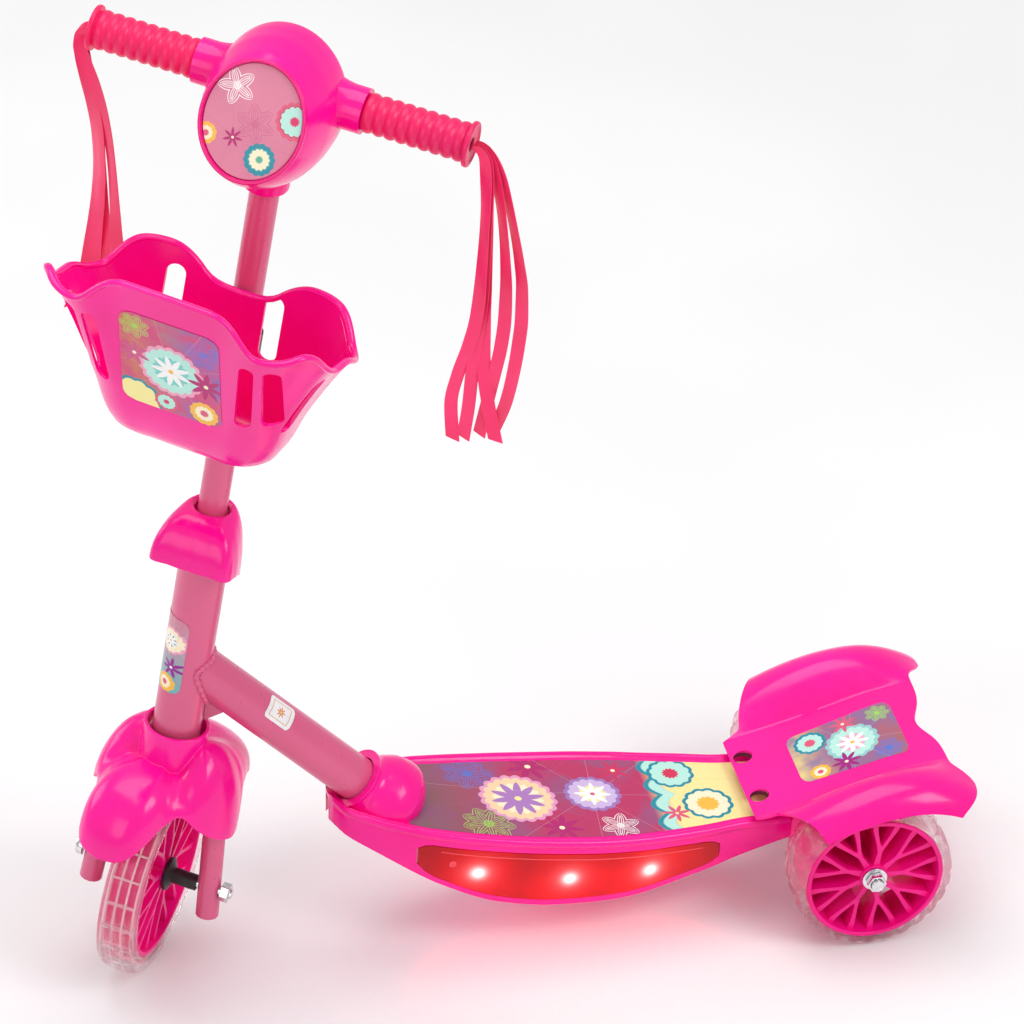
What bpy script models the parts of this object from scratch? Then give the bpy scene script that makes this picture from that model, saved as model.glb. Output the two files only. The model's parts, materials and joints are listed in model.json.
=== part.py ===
"""Kids' three-wheel kick scooter: one steered front wheel, two rear wheels, basket and lit deck.

World frame: metres, +Z up, forward is -Y, +X is the rider's left.  The scooter is modelled with its
front axle above y = 0 and then moved so that the middle of its base is the origin.

Steered frame: X along the handlebar, -Y forward, +Z up the steering axis, origin at the front axle.
Everything that turns with the handlebar is modelled there and hangs on the steering_axis empty.
"""
import math

import bmesh
import bpy
from mathutils import Matrix, Vector

# ---------------------------------------------------------------- driving dimensions (metres)
WHEELBASE = 0.4420
TRACK = 0.1348                      # between the middles of the rear wheels
RAKE = math.radians(8.4)            # steering axis leans back by this
STEER_AT_REST = math.radians(58.0)  # handlebar turned to the rider's left, as it stands parked
GAP = 0.0003                        # between pieces that touch or are fastened together
RUNNING_GAP = 0.0004                # between pieces that turn on each other

# wheels
FRONT_WHEEL_R = 0.0666
FRONT_WHEEL_W = 0.0240
FRONT_RIM_R = 0.0540
REAR_WHEEL_R = 0.0513
REAR_WHEEL_W = 0.0350
REAR_RIM_R = 0.0440
HUB_INSET = 0.0008                  # rim narrower than the tyre on each side
BOSS_INSET = 0.0020                 # boss face behind the rim's edge
WEB_SHARE = 0.62                    # spokes' depth as a share of the rim's
RIM_WALL = 0.0032
SPOKES = 9
SPOKE_T = 0.0026
BOSS_R = 0.0090
AXLE_R = 0.0030
REAR_AXLE_R = 0.0040
NUT_ACROSS_R = 0.0062
NUT_H = 0.0052
WASHER_R = 0.0080
WASHER_T = 0.0012
SPACER_R = 0.0052
SPACER_FLANGE_R = 0.0108

# fork and steering tube
LEG_R = 0.00725
LEG_X = 0.0390                      # fork leg centre line from the middle, at its lower end
LEG_TOP_X = 0.0335                  # and where it bends into the crown
LEG_DROP = 0.0200                   # legs end this far below the axle
CROWN_CLEAR = 0.0030                # between the tyre and the crown
CROWN_BEND_R = 0.0150
STEM_R = 0.0090
STEM_WALL = 0.0015
BAR_H = 0.5600                      # handlebar above the front axle, along the steering axis
BAR_R = 0.0090

# head tube and down tube
HEAD_R = 0.0150
HEAD_WALL = 0.0020
HEAD_BOTTOM = 0.0975
HEAD_TOP = 0.2300
BUSH_FLANGE = 0.0030
BUSH_LENGTH = 0.0140
DOWN_R = 0.0143
DOWN_WALL = 0.0020
DOWN_JOIN = 0.1583                  # where the tubes meet, up the steering axis from the front axle
NOSE_Y = 0.1280                     # the down tube enters the deck's boss here
NOSE_Z = 0.1167
DOWN_IN_BOSS = 0.0340
GUSSET_LEG = 0.0150
GUSSET_T = 0.0040

# deck
DECK_FRONT_Y = 0.1100
TAIL_LENGTH = 0.0420                # from the deck's rear end to the rear axle
DECK_HALF_W = 0.0495
DECK_REAR_Z = 0.0720                # top of the rim at the rear
DECK_RISE = 0.0390                  # the nose is this much higher
DECK_RISE_POWER = 1.75
DECK_DEPTH = 0.0425
DECK_WALL = 0.0028
RIM_OVERHANG = 0.0022               # the side wall stands this far inside the rim's edge
RIM_DEPTH = 0.0062
DECK_FLOOR_DROP = 0.0020            # standing surface below the rim
DECK_PLAN = ((0, 0.10), (0.03, 0.42), (0.076, 0.60), (0.13, 0.727), (0.224, 0.87), (0.338, 0.95),
             (0.448, 0.99), (0.552, 1.0), (0.655, 0.97), (0.724, 0.92), (0.81, 0.85), (0.9, 0.76), (1, 0.73))
DECK_KEEL = ((0, -0.45), (0.076, -0.19), (0.224, 0.42), (0.348, 0.80), (0.479, 0.965), (0.607, 1.0),
             (0.797, 0.80), (1, 0.47))
KEEL_NARROWING = 0.86
RAIL_W = 0.0180
RAIL_H = 0.0110
RAIL_FRONT_Y = 0.1450
RAIL_FRONT_Z = 0.0812               # middle of the rail at its front end
RAIL_REAR_Z = 0.0575
BASE_FROM = 0.20                    # bottom plate along the deck, as shares of its length
BASE_TO = 0.93
LENS_FROM = 0.17                    # along the deck, as shares of its length
LENS_TO = 0.84
LENS_TOP_DROP = 0.0105              # below the deck's rim
LENS_BOTTOM_RISE = 0.0045           # above the keel
LENS_T = 0.0022
LED_R = 0.0026
LED_PLACES = (0.30, 0.50, 0.68)
BATTERY_PLACE = 0.55                # its middle, as a share of the deck's length
BATTERY_HALF_W = 0.52 * DECK_HALF_W
BATTERY_HALF_L = 0.0300
BATTERY_H = 0.0180
BATTERY_WALL = 0.0016
BATTERY_LIFT = 0.0040               # its floor above the keel
SWITCH_PLACE = 0.76
SWITCH_TRAVEL = 0.0040
SWITCH_W = 0.0060
SWITCH_L = 0.0050
SWITCH_SLOT_L = SWITCH_L + SWITCH_TRAVEL + 0.0050

# rear fender
FENDER_T = 0.0025
FENDER_FRONT_AHEAD = 0.0670         # plate starts this far ahead of the rear axle
FENDER_BEHIND = 0.0560              # and ends this far behind it
FENDER_FRONT_Z = 0.0780
FENDER_FRONT_HALF_W = 0.0425
FENDER_RISE = ((-FENDER_FRONT_AHEAD, 0), (-0.032, 0.0085), (0, 0.0175), (0.030, 0.0257), (FENDER_BEHIND, 0.0290))
ARCH_HALF_W = 0.0215
ARCH_TOP_Z = 0.1165
FENDER_SCREW_X = 0.418 * DECK_HALF_W
FENDER_SCREW_AHEAD = 0.0590
RECESS_R = 0.0060
TAIL_EDGE = 0.0040                  # chamfer along the tail block's underside
TAIL_SHOULDER_W = 0.0100
TAIL_SHOULDER_H = 0.0140

# handlebar, its housing and the grips
HOUSING_HALF_W = 0.0395
HOUSING_HALF_H = 0.0465
HOUSING_WALL = 0.0024
HOUSING_CENTRE_DROP = 0.0080        # middle of the housing below the bar
HOUSING_SAG = 0.0007                # the tilted sections reach this much lower
HOUSING_BACK = 0.0190
FACE_AHEAD = 0.0500
FACE_TILT = math.radians(20.0)
FACE_HALF_W = 0.0293
FACE_HALF_H = 0.0340
FACE_T = 0.0018
FACE_RECESS = 0.0030                # back of the plate behind the housing's front
ARM_R = 0.0138
ARM_END = 0.0520
COLLAR_R = 0.0140
COLLAR_H = 0.0120
GRIP_END = 0.1180
GRIP_R = 0.0120
GRIP_RIBS = 9
GRIP_SEGMENTS = 12
GRIP_RIB_DEPTH = 0.0014
GRIP_FLANGE_R = 0.0138
GRIP_FLANGE_T = 0.0030
GRIP_HOLE_R = 0.0040                # the streamers come out of this hole in the grip's end
STREAMER_W = 0.0080
STREAMER_T = 0.0008
STREAMER_PITCH = 0.0015             # between the ribbons of one bunch where they come out
STREAMER_FAN = 2.2                  # the ribbons lie this many times as far apart at their tips

# cover over the top of the head tube
COVER_WALL = 0.0022

# front fender
FRONT_COLLAR_R = 0.0205
FRONT_COLLAR_TOP = 0.1110
FRONT_FENDER_TURN = math.radians(-15.0)    # it sits turned on the fork
FRONT_FENDER_T = 0.0024

# basket
BASKET_TURN = math.radians(-3.0)    # the clamp sits a little skewed on the stem
BASKET_BACK = 0.0132                # back wall ahead of the stem's middle
BASKET_FLOOR = 0.3420
BASKET_WALL = 0.0022
BASKET_LIP = 0.0032
SLOT_W = 0.0095
FRONT_SLOT_X = (0.0470, 0.0610)
FRONT_SLOT_Z = 0.4230
FRONT_SLOT_H = 0.0560
SIDE_SLOT_AHEAD = 0.0780
SIDE_SLOT_Z = 0.4080
SIDE_SLOT_H = 0.0500
BACK_SLOT_X = (-0.0400, 0.0230)
BACK_SLOT_Z = 0.4110
BACK_SLOT_W = 0.0120
BACK_SLOT_H = 0.0440
CLAMP_H = 0.0200
CLAMP_Z = 0.3850
CLAMP_SCREW_R = 0.0015

DECK_REAR_Y = WHEELBASE - TAIL_LENGTH
DECK_LENGTH = DECK_REAR_Y - DECK_FRONT_Y
REAR_AXLE = Vector((0, WHEELBASE, REAR_WHEEL_R))
FRONT_AXLE = Vector((0, 0, FRONT_WHEEL_R))
CROWN_Z = FRONT_WHEEL_R + CROWN_CLEAR + LEG_R
LEG_SPLAY = (LEG_X - LEG_TOP_X) / (CROWN_Z - CROWN_BEND_R + LEG_DROP)
AXLE_LEG_X = LEG_X - LEG_SPLAY * LEG_DROP    # leg centre line at the axle's height
STEM_TOP = BAR_H - BAR_R - GAP
TAIL_STATIONS = ((DECK_REAR_Y + GAP, 0.0360, 0.0500), (DECK_REAR_Y + 0.008, 0.0430, 0.0440),
                 (DECK_REAR_Y + 0.018, 0.0465, 0.0405), (WHEELBASE + 0.006, 0.0470, 0.0400),
                 (WHEELBASE + 0.012, 0.0460, 0.0430))    # along, half width, underside
SIDES = (("left", 1), ("right", -1))

# Streamers, in millimetres from the middle of the grip's end: every ribbon of both bunches passes
# these depths below it, this far outward along the bar.
STREAMER_DROPS = (0, 0.4, 2.2, 6, 12, 22, 36, 54, 74, 94, 114, 134, 154, 176, 200)
STREAMER_OUTS = {
    "left": ((0.6, 3, 5.6, 7.6, 8.6, 9.2, 9.4, 9.0, 8.2, 7.2, 5.4, 1.0, -5.0, -9.0, -7.5),
             (0.6, 3, 5.6, 7.8, 9.2, 10.0, 10.4, 10.2, 9.6, 8.4, 6.6, 4.4, 2.6, 1.0, -2.0),
             (0.6, 3, 5.6, 7.6, 8.8, 9.6, 10.0, 10.2, 9.8, 9.2, 8.6, 8.6, 9.2, 12.2, 17.0),
             (0.6, 3, 5.8, 8.4, 10.8, 13.6, 16.2, 18.4, 20.0, 20.8, 20.4, 18.4, 14.8, 10.4, 5.6),
             (0.6, 3, 6.0, 9.2, 12.6, 16.6, 20.4, 24.2, 27.6, 29.8, 29.8, 28.0, 25.2, 20.8, 12.4)),
    "right": ((0.6, 3, 5.6, 7.6, 8.4, 7.4, 4.6, 1.0, -0.6, 0.2, 1.2, 1.8, 4.6, 11.0, 20.0),
              (0.6, 3, 5.6, 7.8, 8.8, 8.2, 6.0, 2.6, 0.2, -0.4, 0.6, 2.8, 6.0, 9.6, 13.6),
              (0.6, 3, 5.6, 7.6, 8.4, 7.0, 3.6, 0.0, -2.8, -4.0, -4.6, -5.0, -4.8, -3.0, 0.4),
              (0.6, 3, 5.6, 7.6, 8.2, 6.4, 2.8, -1.4, -4.2, -4.8, -3.4, -1.2, 0.6, 2.0, 3.0),
              (0.6, 3, 5.6, 7.4, 7.6, 4.2, -1.6, -7.0, -10.6, -12.6, -13.8, -14.8, -16.0, -17.6, -19.6)),
}

PINK = (1.0, 0.03, 0.29)
ROSE = (0.72, 0.13, 0.27)


# ---------------------------------------------------------------- small helpers
def material(name, rgb, roughness=0.25, metallic=0.0, alpha=1.0):
    mat = bpy.data.materials.get(name)
    if mat is None:
        mat = bpy.data.materials.new(name)
        mat.use_nodes = True
        shader = mat.node_tree.nodes["Principled BSDF"]
        shader.inputs["Base Color"].default_value = (*rgb, 1)
        shader.inputs["Roughness"].default_value = roughness
        shader.inputs["Metallic"].default_value = metallic
        shader.inputs["Alpha"].default_value = alpha
    return mat


def pink_plastic():
    return material("pink_plastic", PINK, 0.2)


def rose_paint():
    return material("rose_paint", ROSE, 0.3, 0.3)


def chrome():
    return material("chrome", (0.8, 0.8, 0.8), 0.1, 1.0)


def smooth_through(points, t):
    """Value at t on a smooth curve through (t, value) points, flat where the curve turns."""
    if t <= points[0][0]:
        return points[0][1]
    if t >= points[-1][0]:
        return points[-1][1]
    slopes = []
    for i in range(len(points)):
        if i in (0, len(points) - 1):
            j = max(i, 1)
            slopes.append((points[j][1] - points[j - 1][1]) / (points[j][0] - points[j - 1][0]))
            continue
        before = (points[i][1] - points[i - 1][1]) / (points[i][0] - points[i - 1][0])
        after = (points[i + 1][1] - points[i][1]) / (points[i + 1][0] - points[i][0])
        slopes.append(0 if before * after <= 0 else 2 * before * after / (before + after))
    i = max(k for k in range(len(points) - 1) if points[k][0] <= t)
    (x0, y0), (x1, y1) = points[i], points[i + 1]
    span = x1 - x0
    s = (t - x0) / span
    rise = y0 * (1 + 2 * s) * (1 - s) ** 2 + y1 * s * s * (3 - 2 * s)
    return rise + span * (slopes[i] * s * (1 - s) ** 2 - slopes[i + 1] * s * s * (1 - s))


def empty(name, parent=None, location=(0, 0, 0), rotation=None):
    obj = bpy.data.objects.new(name, None)
    obj.empty_display_size = 0.03
    bpy.context.collection.objects.link(obj)
    obj.parent = parent
    obj.location = location
    if rotation is not None:
        obj.rotation_euler = rotation.to_euler()
    return obj


def solid(name, verts, faces, mat, parent, smooth=35):
    """A closed body from points and faces, its faces turned outward."""
    mesh = bpy.data.meshes.new(name)
    bm = bmesh.new()
    made = [bm.verts.new(v) for v in verts]
    for face in faces:
        if len(set(face)) > 2:
            bm.faces.new([made[i] for i in face])
    bmesh.ops.remove_doubles(bm, verts=bm.verts, dist=1e-6)
    bmesh.ops.dissolve_degenerate(bm, edges=bm.edges, dist=1e-7)
    bmesh.ops.recalc_face_normals(bm, faces=bm.faces)
    bm.to_mesh(mesh)
    bm.free()
    mesh.shade_smooth()
    mesh.set_sharp_from_angle(angle=math.radians(smooth))
    mesh.materials.append(mat)
    obj = bpy.data.objects.new(name, mesh)
    bpy.context.collection.objects.link(obj)
    obj.parent = parent
    return obj


def loft(rings, closed=False, close_rings=True):
    """Points and faces through rings of equal count; ends are capped unless the loft is closed."""
    count = len(rings[0])
    verts = [p for ring in rings for p in ring]
    faces = []
    for r in range(len(rings) if closed else len(rings) - 1):
        a, b = r * count, (r + 1) % len(rings) * count
        for i in range(count if close_rings else count - 1):
            j = (i + 1) % count
            faces.append((a + i, a + j, b + j, b + i))
    if not closed:
        faces.append(tuple(range(count)))
        faces.append(tuple(range((len(rings) - 1) * count, len(rings) * count)))
    return verts, faces


def turned(profile, segments=32, along="Z"):
    """A body of revolution from a closed (radius, height) profile, about Z or X."""
    rings = []
    for k in range(segments):
        a = 2 * math.pi * k / segments
        c, s = math.cos(a), math.sin(a)
        if along == "Z":
            rings.append([Vector((r * c, r * s, h)) for r, h in profile])
        else:
            rings.append([Vector((h, r * c, r * s)) for r, h in profile])
    return loft(rings, closed=True)


def bar(start, end, radius, segments=24, inner=0.0):
    """A round bar, or a tube with an inner radius, from start to end."""
    start, end = Vector(start), Vector(end)
    length = (end - start).length
    turn = (end - start).to_track_quat("Z", "Y").to_matrix()
    if inner:
        verts, faces = turned([(inner, 0), (radius, 0), (radius, length), (inner, length)], segments)
    else:
        circle = [(2 * math.pi * k / segments) for k in range(segments)]
        verts, faces = loft([[Vector((radius * math.cos(a), radius * math.sin(a), h)) for a in circle]
                             for h in (0, length)])
    return [start + turn @ v for v in verts], faces


def box(low, high):
    (x0, y0, z0), (x1, y1, z1) = low, high
    rings = [[Vector((x0, y0, z)), Vector((x1, y0, z)), Vector((x1, y1, z)), Vector((x0, y1, z))]
             for z in (z0, z1)]
    return loft(rings)


def prism(outline, low, high, axis):
    """A flat outline pushed from low to high along X, Y or Z; its points give the other two."""
    rings = []
    for h in (low, high):
        if axis == "X":
            rings.append([Vector((h, a, b)) for a, b in outline])
        elif axis == "Y":
            rings.append([Vector((a, h, b)) for a, b in outline])
        else:
            rings.append([Vector((a, b, h)) for a, b in outline])
    return loft(rings)


def bore_around(radius, segments):
    """Corner radius of a faceted bore whose flats stay a gap outside a round of this radius."""
    return (radius + GAP) / math.cos(math.pi / segments)


def hexagon(radius):
    return [(radius * math.cos(math.pi * k / 3), radius * math.sin(math.pi * k / 3)) for k in range(6)]


def stadium(centre, width, height, lean=0.0, steps=4):
    """An upright slot with round ends; lean moves its top sideways."""
    r = width / 2
    points = []
    for side in (1, -1):
        for k in range(steps + 1):
            a = math.pi * k / steps
            y = side * (height / 2 - r + r * math.sin(a))
            points.append((centre[0] + side * r * math.cos(a) + lean * y / height, centre[1] + y))
    return points


def rounded(half_w, half_h, steps=32, power=2.0):
    """A superellipse outline."""
    points = []
    for k in range(steps):
        a = 2 * math.pi * k / steps
        c, s = math.cos(a), math.sin(a)
        points.append((half_w * math.copysign(abs(c) ** (2 / power), c),
                       half_h * math.copysign(abs(s) ** (2 / power), s)))
    return points


def guide(name, shape, parent):
    """A body used only to cut or join another."""
    obj = solid(name, *shape, material("guide", (0.5, 0.5, 0.5)), parent)
    obj.hide_render = True
    obj.display_type = "WIRE"
    return obj


def combine(obj, other, operation):
    mod = obj.modifiers.new(other.name, "BOOLEAN")
    mod.operation = operation
    mod.solver = "EXACT"
    mod.object = other


def cut(obj, name, shape, parent):
    combine(obj, guide(name, shape, parent), "DIFFERENCE")


# ---------------------------------------------------------------- where things are
def on_axis(height):
    """A world point on the steering axis, height up it from the front axle."""
    return FRONT_AXLE + height * Vector((0, math.sin(RAKE), math.cos(RAKE)))


def steered_place():
    """Where the steered frame stands in the world while the handlebar is turned as parked."""
    turn = Matrix.Rotation(-RAKE, 4, "X") @ Matrix.Rotation(STEER_AT_REST, 4, "Z")
    return Matrix.Translation(FRONT_AXLE) @ turn


NOSE = Vector((0, NOSE_Y, NOSE_Z))
DOWN_DIR = (NOSE - on_axis(DOWN_JOIN)).normalized()
DOWN_END = NOSE + DOWN_IN_BOSS * DOWN_DIR


def deck_at(t):
    """Half width, rim height and keel height at share t of the deck's length."""
    top = DECK_REAR_Z + DECK_RISE * (1 - t) ** DECK_RISE_POWER
    keel = DECK_REAR_Z - DECK_DEPTH * smooth_through(DECK_KEEL, t)
    return DECK_HALF_W * smooth_through(DECK_PLAN, t), top, keel


def deck_y(t):
    return DECK_FRONT_Y + t * DECK_LENGTH


def deck_share(y):
    return (y - DECK_FRONT_Y) / DECK_LENGTH


def rail_line(y):
    """Height of the middle of the steel rail under the deck."""
    share = (y - RAIL_FRONT_Y) / (DECK_REAR_Y - RAIL_FRONT_Y)
    return RAIL_FRONT_Z + share * (RAIL_REAR_Z - RAIL_FRONT_Z)


def fender_plate_z(y):
    """Top of the rear fender's flat plate, which climbs to the rear."""
    return FENDER_FRONT_Z + smooth_through(FENDER_RISE, y - WHEELBASE)


# ---------------------------------------------------------------- wheels
def spoke_windows(rim_inner, depth):
    """Openings between the Y-shaped spokes: one wide and one small opening for each spoke."""
    fork_r = BOSS_R + 0.42 * (rim_inner - BOSS_R)
    spread = 0.30 * 2 * math.pi / SPOKES
    half = SPOKE_T / 2
    inner_r = BOSS_R + 0.0012
    steps = 3
    verts, faces = [], []

    def branch(r):
        """How far a branch has left its spoke's middle at radius r."""
        if r <= fork_r:
            return 0.0
        return spread * math.sin(math.pi / 2 * (r - fork_r) / (rim_inner - fork_r))

    def add(outline):
        points, sides = prism(outline, -depth, depth, "X")
        faces.extend(tuple(i + len(verts) for i in side) for side in sides)
        verts.extend(points)

    for k in range(SPOKES):
        middle = 2 * math.pi * k / SPOKES
        follow = middle + 2 * math.pi / SPOKES
        up = [inner_r + (rim_inner - inner_r) * i / steps for i in range(steps + 1)]
        edge_a = [(r, middle + branch(r) + half / r) for r in up]
        edge_b = [(r, follow - branch(r) - half / r) for r in reversed(up)]
        add([(r * math.cos(a), r * math.sin(a)) for r, a in edge_a + edge_b])
        start = fork_r + 0.30 * (rim_inner - fork_r)
        up = [start + (rim_inner - start) * i / 2 for i in range(3)]
        edge_a = [(r, middle - branch(r) + half / r) for r in up]
        edge_b = [(r, middle + branch(r) - half / r) for r in reversed(up)]
        add([(r * math.cos(a), r * math.sin(a)) for r, a in edge_a + edge_b])
    return verts, faces


def wheel(name, centre_x, rim_r, wheel_r, width, bore_r, parent):
    """Hub with a rim, spokes and boss, and the tyre around it."""
    w = width / 2 - HUB_INSET
    web = w * WEB_SHARE
    rim_in = rim_r - RIM_WALL
    boss = w - BOSS_INSET
    profile = [(bore_r, -boss), (BOSS_R, -boss), (BOSS_R, -web), (rim_in, -web), (rim_in, -w), (rim_r, -w),
               (rim_r, w), (rim_in, w), (rim_in, web), (BOSS_R, web), (BOSS_R, boss), (bore_r, boss)]
    hub = solid(f"{name}_hub", *turned(profile, 3 * SPOKES, "X"), pink_plastic(), parent)
    hub.location = (centre_x, 0, 0)
    cut(hub, f"{name}_windows", spoke_windows(rim_in * math.cos(math.pi / 3 / SPOKES) - GAP, width), parent)
    bpy.data.objects[f"{name}_windows"].location = (centre_x, 0, 0)
    t, r = width / 2, rim_r + GAP
    shoulder = rim_r + 0.45 * (wheel_r - rim_r)
    crown = [(r, -t), (shoulder, -t)]
    for k in range(4):
        a = math.radians(-60 + 40 * k)
        crown.append((wheel_r - 0.28 * t * (math.cos(math.radians(20)) - math.cos(a)), t * math.sin(a) / 0.9))
    crown += [(shoulder, t), (r, t)]
    tyre = solid(f"{name}_tyre", *turned(crown, 30, "X"), material("tyre", (0.95, 0.6, 0.68), 0.15), parent)
    tyre.location = (centre_x, 0, 0)


def nut(name, start_x, side, bore_r, parent):
    """A hexagon nut with a domed cap, its flat face at start_x."""
    verts, faces = prism(hexagon(NUT_ACROSS_R), start_x, start_x + side * NUT_H, "X")
    body = solid(name, verts, faces, chrome(), parent)
    cut(body, f"{name}_thread", bar((start_x - side * 0.001, 0, 0), (start_x + side * 2 * NUT_H, 0, 0),
                                    bore_r + GAP, 16), parent)


# ---------------------------------------------------------------- frame
def head_tube(head_axis):
    profile = [(HEAD_R - HEAD_WALL, HEAD_BOTTOM), (HEAD_R, HEAD_BOTTOM), (HEAD_R, HEAD_TOP),
               (HEAD_R - HEAD_WALL, HEAD_TOP)]
    solid("head_tube", *turned(profile, 28), rose_paint(), head_axis)
    outer, inner = HEAD_R - HEAD_WALL - GAP, STEM_R + RUNNING_GAP
    grey = material("bush_plastic", (0.08, 0.08, 0.09), 0.5)
    for name, end, into in (("head_bush_lower", HEAD_BOTTOM, 1), ("head_bush_upper", HEAD_TOP, -1)):
        near, far = end - into * GAP, end + into * BUSH_LENGTH
        flange = near - into * BUSH_FLANGE
        profile = [(inner, flange), (HEAD_R, flange), (HEAD_R, near), (outer, near), (outer, far), (inner, far)]
        solid(name, *turned(profile, 18), grey, head_axis)


def down_tube(frame, head_axis):
    shape = bar(on_axis(DOWN_JOIN), DOWN_END, DOWN_R, 28, DOWN_R - DOWN_WALL)
    tube = solid("down_tube", *shape, rose_paint(), frame)
    saddle = turned([(0, 0), (HEAD_R + GAP, 0), (HEAD_R + GAP, HEAD_TOP), (0, HEAD_TOP)], 32)
    cut(tube, "down_tube_saddle", saddle, head_axis)


def gusset_plate(frame):
    """Small plate welded in the corner under the down tube."""
    up = Vector((0, math.sin(RAKE), math.cos(RAKE)))
    back = Vector((0, math.cos(RAKE), -math.sin(RAKE)))
    below = Vector((0, DOWN_DIR.z, -DOWN_DIR.y))
    start = on_axis(DOWN_JOIN) + (DOWN_R + GAP) * below
    clear = HEAD_R + GAP - (start - on_axis(DOWN_JOIN)).dot(back)
    corner = start + clear / DOWN_DIR.dot(back) * DOWN_DIR
    outline = [(p.y, p.z) for p in (corner, corner - GUSSET_LEG * up, corner + GUSSET_LEG * DOWN_DIR)]
    solid("gusset_plate", *prism(outline, -GUSSET_T / 2, GUSSET_T / 2, "X"), rose_paint(), frame)


def deck_taper(half):
    """Small details shrink where the deck is narrow."""
    return min(1.0, half / 0.030)


def deck_side(t, levels):
    """(x, z) points down the outside of the deck's side wall, from the rim's underside to the keel."""
    half, top, keel = deck_at(t)
    foot = KEEL_NARROWING * half
    side_top = half - RIM_OVERHANG * deck_taper(half)
    points = []
    for k in range(levels + 1):
        share = k / levels
        x = foot + (side_top - foot) * math.cos(math.pi / 2 * share)
        points.append((x, top - RIM_DEPTH - (top - keel - RIM_DEPTH) * share ** 0.9))
    return points


def deck_section(t):
    """Outline across the deck: the rim, the side walls and the open underside."""
    half, top, keel = deck_at(t)
    y = deck_y(t)
    s = deck_taper(half)
    outer = [(half - 0.0075 * s, top - DECK_FLOOR_DROP), (half - 0.0055 * s, top - 0.0004),
             (half - 0.0035 * s, top),
             (half - 0.0010 * s, top - 0.0010), (half, top - 0.0030), (half - 0.0004 * s, top - 0.0050)]
    side = deck_side(t, 4)
    outer += side
    wall = DECK_WALL * s
    inner = [(x - wall, z) for x, z in side[:0:-1]]
    roof = max(keel + 0.0005, top - DECK_FLOOR_DROP - DECK_WALL)
    inner.append((side[0][0] - wall - 0.0010 * s, min(top - 0.0080, roof)))
    inner.append((half - 0.0095 * s, roof))
    right = outer + inner
    left = [(-x, z) for x, z in reversed(right)]
    return [Vector((x, y, z)) for x, z in right + left]


def deck_boss():
    """Swelling of the deck's nose around the end of the down tube."""
    turn = DOWN_DIR.to_track_quat("Z", "Y").to_matrix()
    profile = ((0.0188, 0), (0.0198, 0.0015), (0.0225, 0.0110), (0.0255, 0.0200), (0.0268, 0.0290),
               (0.0240, 0.0370), (0.0160, 0.0430), (0.0080, 0.0450))
    angles = [2 * math.pi * k / 22 for k in range(22)]
    return loft([[NOSE + turn @ Vector((r * math.cos(a), r * math.sin(a), h)) for a in angles]
                 for r, h in profile])


def lens_outline(inset):
    """Window in the deck's side, as points along and up."""
    steps = 10
    top, bottom = [], []
    for k in range(steps + 1):
        t = LENS_FROM + (LENS_TO - LENS_FROM) * k / steps
        _, rim, keel = deck_at(t)
        squeeze = math.sin(math.pi * k / steps) ** 0.25 if 0 < k < steps else 0.0
        high, low = rim - LENS_TOP_DROP, keel + LENS_BOTTOM_RISE
        middle = (high + low) / 2
        reach = (high - low) / 2 * (0.35 + 0.65 * squeeze) - inset
        y = deck_y(t) + (inset if k == 0 else -inset if k == steps else 0)
        top.append((y, middle + reach))
        bottom.append((y, middle - reach))
    return top + bottom[::-1]


def deck_wall_body(extra_in, extra_out):
    """The side walls of the deck as one solid, grown inward and outward."""
    rings = []
    for k in range(16):
        t = k / 15
        line = deck_side(t, 4)
        outer = [Vector((x + extra_out, deck_y(t), z)) for x, z in line]
        inner = [Vector((x - extra_in, deck_y(t), z)) for x, z in reversed(line)]
        rings.append(outer + inner)
    return loft(rings)


def deck_shell(frame):
    deck = solid("deck_shell", *loft([deck_section(k / 15) for k in range(16)]), pink_plastic(), frame, 50)
    combine(deck, guide("deck_boss", deck_boss(), frame), "UNION")
    hole = bar(NOSE - 0.02 * DOWN_DIR, DOWN_END + 0.001 * DOWN_DIR, DOWN_R + GAP, 28)
    cut(deck, "deck_tube_hole", hole, frame)
    cut(deck, "deck_rail_passage", rail_shape(2 * GAP, RAIL_FRONT_Y - 2 * GAP, RAIL_FRONT_Y + 0.030), frame)
    for side, sign in SIDES:
        outline = lens_outline(0)
        low, high = sorted((sign * 0.022, sign * 0.070))
        cut(deck, f"deck_window_{side}", prism(outline, low, high, "X"), frame)
        x, y = sign * FENDER_SCREW_X, WHEELBASE - FENDER_SCREW_AHEAD
        cut(deck, f"deck_screw_hole_{side}", bar((x, y, 0.060), (x, y, 0.090), 0.0017 + GAP, 12), frame)


def rail_shape(grow, start, end):
    rings = []
    for y in (start, end):
        z = rail_line(y)
        w, h = RAIL_W / 2 + grow, RAIL_H / 2 + grow
        rings.append([Vector((x, y, z + dz)) for x, dz in ((-w, -h), (w, -h), (w, h), (-w, h))])
    return loft(rings)


def deck_rail(frame):
    """Steel bar under the deck, from the down tube to the rear axle's block."""
    rail = solid("deck_rail", *rail_shape(0, RAIL_FRONT_Y, DECK_REAR_Y - GAP), rose_paint(), frame)
    cut(rail, "rail_tube_saddle", bar(NOSE, DOWN_END + GAP * DOWN_DIR, DOWN_R + GAP, 32), frame)


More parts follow.
